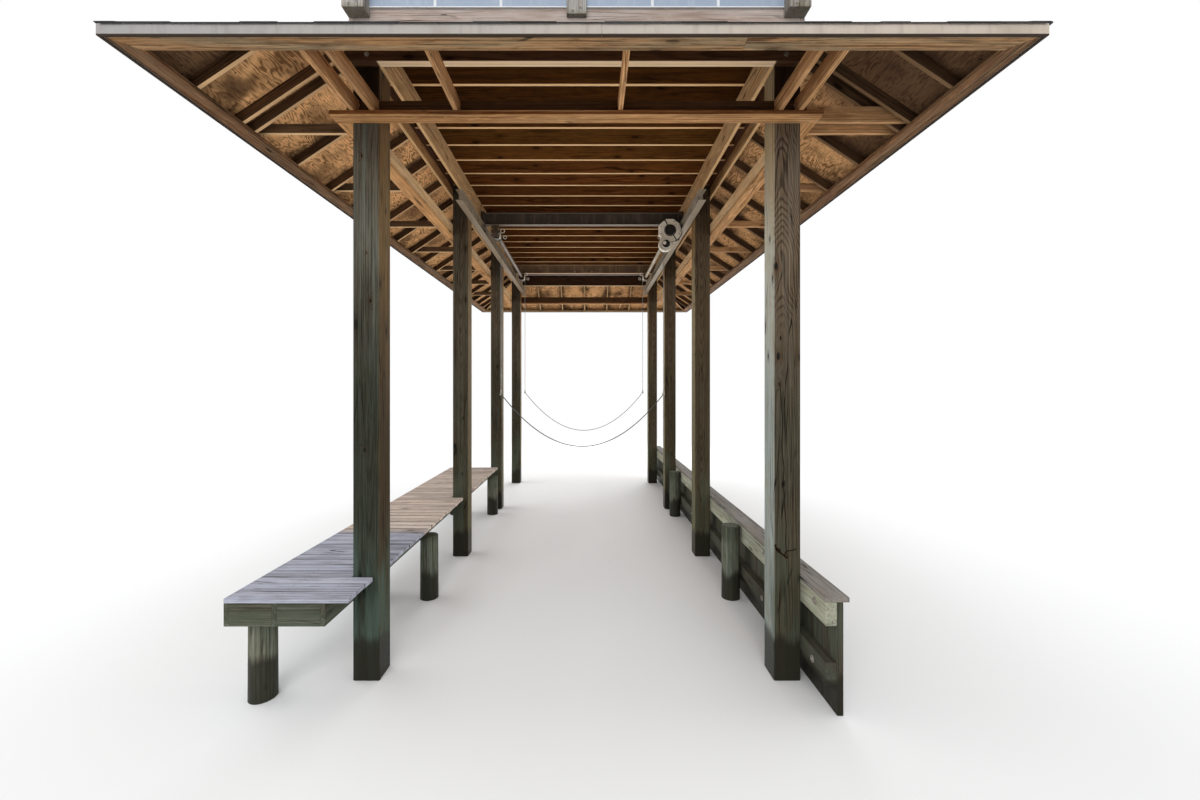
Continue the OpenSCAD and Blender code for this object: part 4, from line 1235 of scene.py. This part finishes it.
# Boat lift
# The left lift beam and left shaft are darker, painted shade; the dark steel is lighter towards the rear, painted
# light; undersides are painted light from below.
galvanised = paint("galvanised", (0.36, 0.300, 0.225), (0.085, 0.058, 0.036), 0.85, 0.55, metallic=0.1,
                   lit_underside=(0.40, 0.33, 0.24), tone=(0, 0.1, -0.1, (0.86, 0.78, 0.70)))
dark_steel = paint("dark_steel", (0.052, 0.038, 0.027), (0.150, 0.115, 0.080), 0.4, 0.6, metallic=0.1,
                   lit_underside=(0.19, 0.145, 0.105), tone=(1, 0.5, 1.5, (2.8, 2.3, 1.7)))
shaft_steel = paint("shaft_look", (0.40, 0.32, 0.21), (0.14, 0.095, 0.055), 0.6, 0.5,
                    tone=(0, 0.1, -0.1, (0.30, 0.24, 0.19)))
pale_steel = paint("pale_steel", (0.40, 0.38, 0.33), (0.20, 0.16, 0.11), 0.5, 0.45, metallic=0.4)
cream_paint = paint("cream_paint", (1.0, 0.91, 0.76), (0.38, 0.27, 0.16), 0.45, 0.6)
black_paint = paint("black_paint", (0.012, 0.011, 0.011), (0.05, 0.04, 0.03), 0.4, 0.5)
for name, look in (("lift_beam_left", galvanised), ("lift_beam_right", galvanised), ("cross_beams", dark_steel),
                   ("drive_shafts", shaft_steel), ("drive_cover", cream_paint), ("drive_motor", black_paint),
                   ("lift_ropes", strand("rope_strand", (0.42, 0.42, 0.40)))):
    dress(name, look)

# Bolts and washers where the posts meet the timbers
zinc = paint("zinc", (0.30, 0.28, 0.25), (0.16, 0.10, 0.06), 0.6, 0.45, metallic=0.5)
frame_bolts = Stock("frame_bolts", zinc, "lift_steel", 111)
MIDDLE = (INNER + OUTER) / 2
PLATE_BOLTS = (PLATE_TOP + 45, PLATE_TOP + 98)
FOOT_BOLTS = ((-34, GUARD_FOOT + 30), (34, GUARD_FOOT + 58))
WALER_BOLTS = [-4780 + 1160 * k for k in range(9)]
for sx in (-1, 1):
    for sy in (-1, 1):
        for x, z in ((MIDDLE - 40, HEADER_Z + 61), (MIDDLE + 42, HEADER_Z + 195)):
            frame_bolts.bolt((sx * x, sy * FACE_Y, z), "y", sy)
        for x, z in zip((MIDDLE - 55, MIDDLE + 55), PLATE_BOLTS):
            frame_bolts.bolt((sx * x, sy * (ROW + PLANK), z), "y", sy, 18, 10)
    for y in POST_Y:
        for x, way, u, z in ((INNER - PLANK, -sx, 62, HEADER_Z + 53), (INNER - PLANK, -sx, 172, HEADER_Z + 138),
                             (INNER - PLANK, -sx, 66, HEADER_Z + 225), (GIRDER_X, sx, 70, HEADER_Z + 133),
                             (GIRDER_X, sx, 165, HEADER_Z + 198),
                             (GIRDER_X, sx, 70, PLATE_BOLTS[0]), (GIRDER_X, sx, 165, PLATE_BOLTS[1])):
            frame_bolts.bolt((sx * x, y + u, z), "x", way, 18, 10)
for u in [s * (DECK_X - CORNER_W / 2) for s in (-1, 1)] + guard_places(DECK_X):
    depth = MID_D if abs(u) < DECK_X - CORNER_W else CORNER_D
    for sy in (-1, 1):
        for dx, z in FOOT_BOLTS:
            frame_bolts.bolt((u + dx, sy * (DECK_Y + depth), z), "y", sy, 16, 9)
for u in guard_places(DECK_Y):
    for sx in (-1, 1):
        for dy, z in FOOT_BOLTS:
            frame_bolts.bolt((sx * (DECK_X + MID_D), u + dy, z), "x", sx, 16, 9)
for y in WALER_BOLTS:
    frame_bolts.bolt((OUTER, y, WALER_TOP - 70), "x", -1, 30, 14)
    frame_bolts.bolt((OUTER, y + 40, LOW_WALER + WALER_H / 2), "x", -1, 30, 14)
frame_bolts.make()

# Winding gear: bearings, drum flanges, wraps of rope, end brackets and the drive
LIFT_DROP, LIFT_H, LIFT_FACE, SHAFT_DROP = 509, 152, 1650, 126
CROSS_FIRST, CROSS_SPAN, CROSS_HALF, DRUM_GAP = 3860, 3430, 51, 90
DRIVE_GAP, DRIVE_DEPTH, PULLEY = 70, 60, 200
LIFT_Z = POST_H - LIFT_DROP
LIFT_TOP = LIFT_Z + LIFT_H
SHAFT_X, SHAFT_Z = 1480, LIFT_TOP - SHAFT_DROP
CROSS_Y = (CROSS_FIRST - ROW, CROSS_FIRST - ROW + CROSS_SPAN)
DRUM_Y = (CROSS_Y[0] + 2 * CROSS_HALF + DRUM_GAP, CROSS_Y[1] - DRUM_GAP)
ROPE_X, ROPE_END, SAG = 1410, 2500, 910
gear = Stock("winding_gear", dark_steel, "cross_steel", 112)
wraps = Stock("drum_rope", strand("wrap_strand", (0.40, 0.38, 0.34)), "rope_steel", 113)
pale_gear = Stock("bearings_and_bolts", pale_steel, "shaft_steel", 114)
black = Stock("drive_sprockets", black_paint, "drive_black", 115)
cream = Stock("drive_rims", cream_paint, "drive_paint", 116)
for sx in (-1, 1):
    x, rope_x = sx * SHAFT_X, sx * ROPE_X
    for cross_y, y, way in zip(CROSS_Y, DRUM_Y, (1, -1)):
        for edge in (-78, 84):
            gear.rod((x, y + edge, SHAFT_Z), "y", 6, 78, 28)
        for k in range(13):
            wraps.ring((x, y - 62 + k * 10.5, SHAFT_Z), "y", 68, 5, 28, 6)
        hanger = cross_y + CROSS_HALF
        for turn in (way, -way):
            gear.rod((x, hanger + 6 * turn, SHAFT_Z), "y", 26 * turn, 50, 20)
        for dx in (-52, 52):
            for z in (SHAFT_Z - 20, SHAFT_Z + 60):
                pale_gear.bolt((x + dx, hanger - 6, z), "y", -1, 13, 8)
        pale_gear.rod((rope_x, y, ROPE_END + 12), "z", 60, 10, 12)
        pale_gear.ring((rope_x, y, ROPE_END), "y", 17, 6, 20, 8)
        pale_gear.rod((rope_x, y - 50, ROPE_END - 16), "y", 100, 9, 12)
        for side in (-1, 1):
            pale_gear.rod((rope_x, y + side * 50, ROPE_END - 16), "y", side * 9, 14, 6)
        cream.ring((rope_x - sx * 30, y - 20, SHAFT_Z + 70), "y", 34, 6, 24, 8)
        cream.ring((rope_x - sx * 66, y + 20, SHAFT_Z - 30), "y", 26, 5, 24, 8)
        cream.plate((rope_x - 12, y - 95, SHAFT_Z - 90), (rope_x + 12, y - 83, SHAFT_Z + 20))
    for y in CROSS_Y:
        gear.plate(*mirror(sx, "x", (LIFT_FACE - 8, y - 45, LIFT_Z + 2), (LIFT_FACE, y + 45, LIFT_TOP + 196)))
        gear.plate(*mirror(sx, "x", (LIFT_FACE, y - 58, LIFT_TOP), (LIFT_FACE + 54, y - 51, LIFT_TOP + 200)))
        for dy in (-26, 26):
            pale_gear.bolt((sx * (LIFT_FACE - 8), y + dy, LIFT_Z + 76), "x", -sx, 16, 9)
    for y in POST_Y[1:]:
        for dz in (45, 107):
            for dy in (60, 175):
                pale_gear.bolt((sx * (INNER - 54), y + dy, LIFT_Z + dz), "x", -sx, 16, 10)
front = CROSS_Y[0] + CROSS_HALF - DRIVE_GAP - DRIVE_DEPTH


def drive(x, y, z):
    """A point from the middle of the drive's front face."""
    return SHAFT_X + x, front + y, SHAFT_Z + z


gear.ring(drive(0, 0, 0), "y", 92, 9, 36, 6)
for line in ([(-96, 184), (-66, 138), (-52, 100), (-40, 78)], [(48, -74), (74, -108), (96, -146), (104, -188)]):
    crack([(SHAFT_X + x, SHAFT_Z + z) for x, z in line], 9, black, front, (-0.2, -2.2))
black.ring(drive(0, -1, 0), "y", PULLEY, 7, 64, 6, start=0.27, turn=0.33)
black.rod(drive(0, -45, 0), "y", -14, 26, 20)
black.rod(drive(0, -59, 0), "y", -10, 15, 6)
for k in range(18):
    t = math.radians(2 + 8.4 * k)
    r, grow = PULLEY + black.random.uniform(-9, 9), black.random.uniform(0.6, 1.5)
    x, z = SHAFT_X + r * math.sin(t - 0.9), SHAFT_Z + r * math.cos(t - 0.9)
    black.plate((x - 11 * grow, front - 4, z - 9 * grow), (x + 11 * grow, front + 40, z + 9 * grow))
for x0, z0, x1, z1 in ((92, 40, 168, 170), (120, -20, 176, 60), (150, 60, 186, 250), (60, 150, 130, 205)):
    black.plate(drive(x0, 2, z0), drive(x1, 46, z1), edge=4)
MOTOR_X, MOTOR_Z = -75, -235
cream.ring(drive(MOTOR_X, -34, MOTOR_Z), "y", 74, 10, 40, 8)
cream.rod(drive(MOTOR_X - 26, -40, MOTOR_Z + 12), "y", -10, 30, 20)
black.rod(drive(MOTOR_X + 26, -40, MOTOR_Z + 2), "y", -14, 26, 20)
cream.ring(drive(MOTOR_X, -3, MOTOR_Z), "y", 110, 6, 44, 8, start=0.30, turn=0.62)
for t in turns(12):
    x, y, z = drive(MOTOR_X, 66, MOTOR_Z)
    black.rod((x + 83 * math.cos(t), y, z + 83 * math.sin(t)), "y", 140, 5, 6)
for x, z in ((-150, 60), (-150, -60), (60, 150), (150, -60)):
    pale_gear.bolt(drive(x, 0, z), "y", -1, 11, 7)
gear.plate(drive(60, 66, -150), drive(166, 74, 110))
for x in (-225, 195):
    pale_gear.bolt((x, CROSS_Y[1] - CROSS_HALF, LIFT_TOP + 20), "y", -1, 17, 10)
for stock in (black, cream, gear, wraps, pale_gear):
    stock.make(smooth=stock in (cream, wraps))

# Slings: straps that hang in a parabola between the ropes' ends
sling_look = webbing("sling_webbing_look", (0.016, 0.016, 0.017))
STEPS, HALF_STRAP = 64, 37.5
for name, y in zip(("front_sling", "rear_sling"), DRUM_Y):
    points, path = [], []
    for i in range(STEPS + 1):
        x = ROPE_X * (2 * i / STEPS - 1)
        z = ROPE_END - SAG * (1 - (x / ROPE_X) ** 2)
        turn = math.atan(2 * SAG * x / ROPE_X ** 2)
        nx, nz = math.sin(turn), -math.cos(turn)
        for v, t in ((-HALF_STRAP, 0.3), (HALF_STRAP, 0.3), (HALF_STRAP, 5.7), (-HALF_STRAP, 5.7)):
            points.append(((x + nx * t) / 1000, (y + v) / 1000, (z + nz * t) / 1000))
        path.append(((x + nx * 3) / 1000, y / 1000, (z + nz * 3) / 1000))
    faces = [(4 * i + k, 4 * i + (k + 1) % 4, 4 * i + 4 + (k + 1) % 4, 4 * i + 4 + k)
             for i in range(STEPS) for k in range(4)]
    faces += [(3, 2, 1, 0), tuple(4 * STEPS + k for k in range(4))]
    strap = piece(name + "_strap", points, faces, sling_look, "sling_webbing", (name,))

# Walkway
walk = Stock("walkway_boards", walk_wood, "walkway_timber", 91, ("walkway_deck",))
nail_rust = paint("nail_rust", (0.075, 0.050, 0.035), (0.03, 0.02, 0.015), 0.4, 0.6)
nails = Stock("walkway_nails", nail_rust, "walkway_frame_timber", 94)
outer_line = WALK_OUT - PLANK
mid_line = (OUTER + outer_line) / 2
for i in range(WALK_BOARDS):
    y0, y1 = WALK_Y + i * WALK_STEP, WALK_Y + (i + 1) * WALK_STEP - (5 if i < WALK_BOARDS - 1 else 0)
    notched = any(y1 > y - 6 and y0 < y + POST + 6 for y in POST_Y)
    end = OUTER + 6 if notched else WALK_X + walk.random.choice((0, 0, 2, 4, 7))
    walk.board((-WALK_OUT, y0, WALK_UNDER), (-end, y1, WALK_Z), "x", bow=0.6)
    for x in (OUTER + 22, mid_line + PLANK / 2, WALK_OUT - 22):
        for part in (0.25, 0.75):
            y = WALK_Y + (i + part) * WALK_STEP
            if x > OUTER + 30 or not any(py - 10 < y < py + POST + 10 for py in POST_Y):
                at = (-x + nails.random.uniform(-5, 5), y + nails.random.uniform(-6, 6), WALK_Z - 0.5)
                nails.rod(at, "z", 1.3, 4.5, 8, 0.3)
stringer_z = WALK_UNDER - STRINGER
frame_stock = Stock("walkway_frame_planks", pile_wood, "walkway_frame_timber", 92, ("walkway_frame",))
for x in (OUTER, mid_line, outer_line):
    frame_stock.run((-x - PLANK, WALK_Y, stringer_z), (-x, WALK_END, WALK_UNDER), "y", [POST_Y[1] + 100], bow=0.5)
for y in (WALK_Y, POST_Y[0], POST_Y[1] + POST, (WALK_END + POST_Y[1]) / 2, WALK_END - PLANK):
    for a, b in ((mid_line + PLANK, outer_line), (OUTER + PLANK, mid_line)):
        frame_stock.board((-b, y, stringer_z), (-a, y + PLANK, WALK_UNDER), "x", bow=0.5)
pile_y, pile_top = (POST_Y[0] + BAYS[0] / 2 + 135, WALK_END - 170), WALK_Z - 150
piles = Stock("walkway_pile_timbers", pile_wood, "walkway_frame_timber", 93, ("walkway_piles",))
for y in pile_y:
    piles.pole(-(OUTER - PILE / 2), y, pile_top)
for y in ((WALK_Y + POST_Y[0] + PLANK) / 2,) + pile_y:
    piles.pole(-(outer_line - PILE / 2), y, pile_top)
make(walk, nails, frame_stock, piles)

# Bulkhead
BULK_HALF, CAP_W = ROW + 450, 190
sheet = Stock("bulkhead_sheet_planks", sheet_wood, "bulkhead_timber", 101, ("bulkhead_sheet",))
sheet_x = OUTER + WALER_T
number = round(2 * BULK_HALF / SHEET_W)
step = 2 * BULK_HALF / number
for i in range(number):
    y = -BULK_HALF + i * step
    sheet.board((sheet_x, y, 0), (sheet_x + SHEET_T, y + step - 4, WALER_TOP), "z", bow=0.5)
walers = Stock("bulkhead_waler_timbers", waler_wood, "bulkhead_timber", 102, ("bulkhead_walers",))
shaded_low_walers = Stock("shaded_low_waler_timbers", shaded_low_waler_wood, "bulkhead_timber", 105)
for stock, z in ((shaded_low_walers, LOW_WALER), (walers, WALER_TOP - WALER_H)):
    stock.run((OUTER, -BULK_HALF, z), (sheet_x, BULK_HALF, z + WALER_H), "y", [-1300, 2100], edge=5, bow=1)
cap = Stock("bulkhead_cap_planks", cap_wood, "bulkhead_timber", 104)
cap.run((OUTER, -BULK_HALF, WALER_TOP), (OUTER + CAP_W, BULK_HALF, BULK_Z), "y", [-2600, 900, 3300], edge=3, bow=0.5)
bulk_piles = Stock("bulkhead_pile_timbers", pile_wood, "bulkhead_timber", 103, ("bulkhead_piles",))
for y in (pile_y[0], POST_Y[2] - 510):
    bulk_piles.pole(OUTER - PILE / 2, y, WALER_TOP)
make(sheet, shaded_low_walers, walers, cap, bulk_piles)

# Floor, light and camera
scene, FLOOR_Z = bpy.context.scene, -0.001
floor_mesh = bpy.data.meshes.new("floor")
floor_mesh.from_pydata([(x, y, FLOOR_Z) for x, y in ((-60, -60), (60, -60), (60, 90), (-60, 90))], [], [(0, 1, 2, 3)])
floor_mesh.materials.append(floor_paper())
floor = bpy.data.objects.new("floor", floor_mesh)
scene.collection.objects.link(floor)
for name, at, target, size, power in (("key", (-2, -15, 8), (0, 0, 3), (9, 7), 900),
                                      ("water_side", (3, 16, 5), (0, 2, 2.5), (14, 7), 1800),
                                      ("right_side", (14, 0, 5), (0, 0, 3), (14, 6), 700),
                                      ("left_side", (-14, 1, 5), (0, 0, 3), (14, 6), 900)):
    data = bpy.data.lights.new(name, "AREA")
    data.shape = "RECTANGLE"
    data.size, data.size_y = size
    data.energy = power
    light = bpy.data.objects.new(name, data)
    scene.collection.objects.link(light)
    light.location = at
    light.rotation_euler = (Vector(target) - Vector(at)).to_track_quat("-Z", "Y").to_euler()
    light.visible_camera = False

sky = Shader("world", kind="worlds")
sky.tree.nodes.clear()
soft = sky.node("Background", {"Color": (0.95, 0.97, 1.0), "Strength": 0.75})
white = sky.node("Background", {"Color": (1, 1, 1), "Strength": 1.0})
blend = sky.node("MixShader", (sky.seen(), soft.outputs[0], white.outputs[0]))
sky.put(sky.node("OutputWorld").inputs["Surface"], blend.outputs[0])
scene.world = sky.block

camera_data = bpy.data.cameras.new("camera")
camera_data.sensor_fit = "HORIZONTAL"
camera_data.sensor_width = 36.0
camera_data.lens = 14.31
camera_data.shift_x = 0.01
camera_data.shift_y = -0.01
camera_data.clip_end = 300
camera = bpy.data.objects.new("camera", camera_data)
scene.collection.objects.link(camera)
camera.location = (0.100, -8.7475, 2.600)
camera.rotation_euler = (math.pi / 2, 0, 0)
scene.camera = camera
scene.view_settings.view_transform = "Standard"
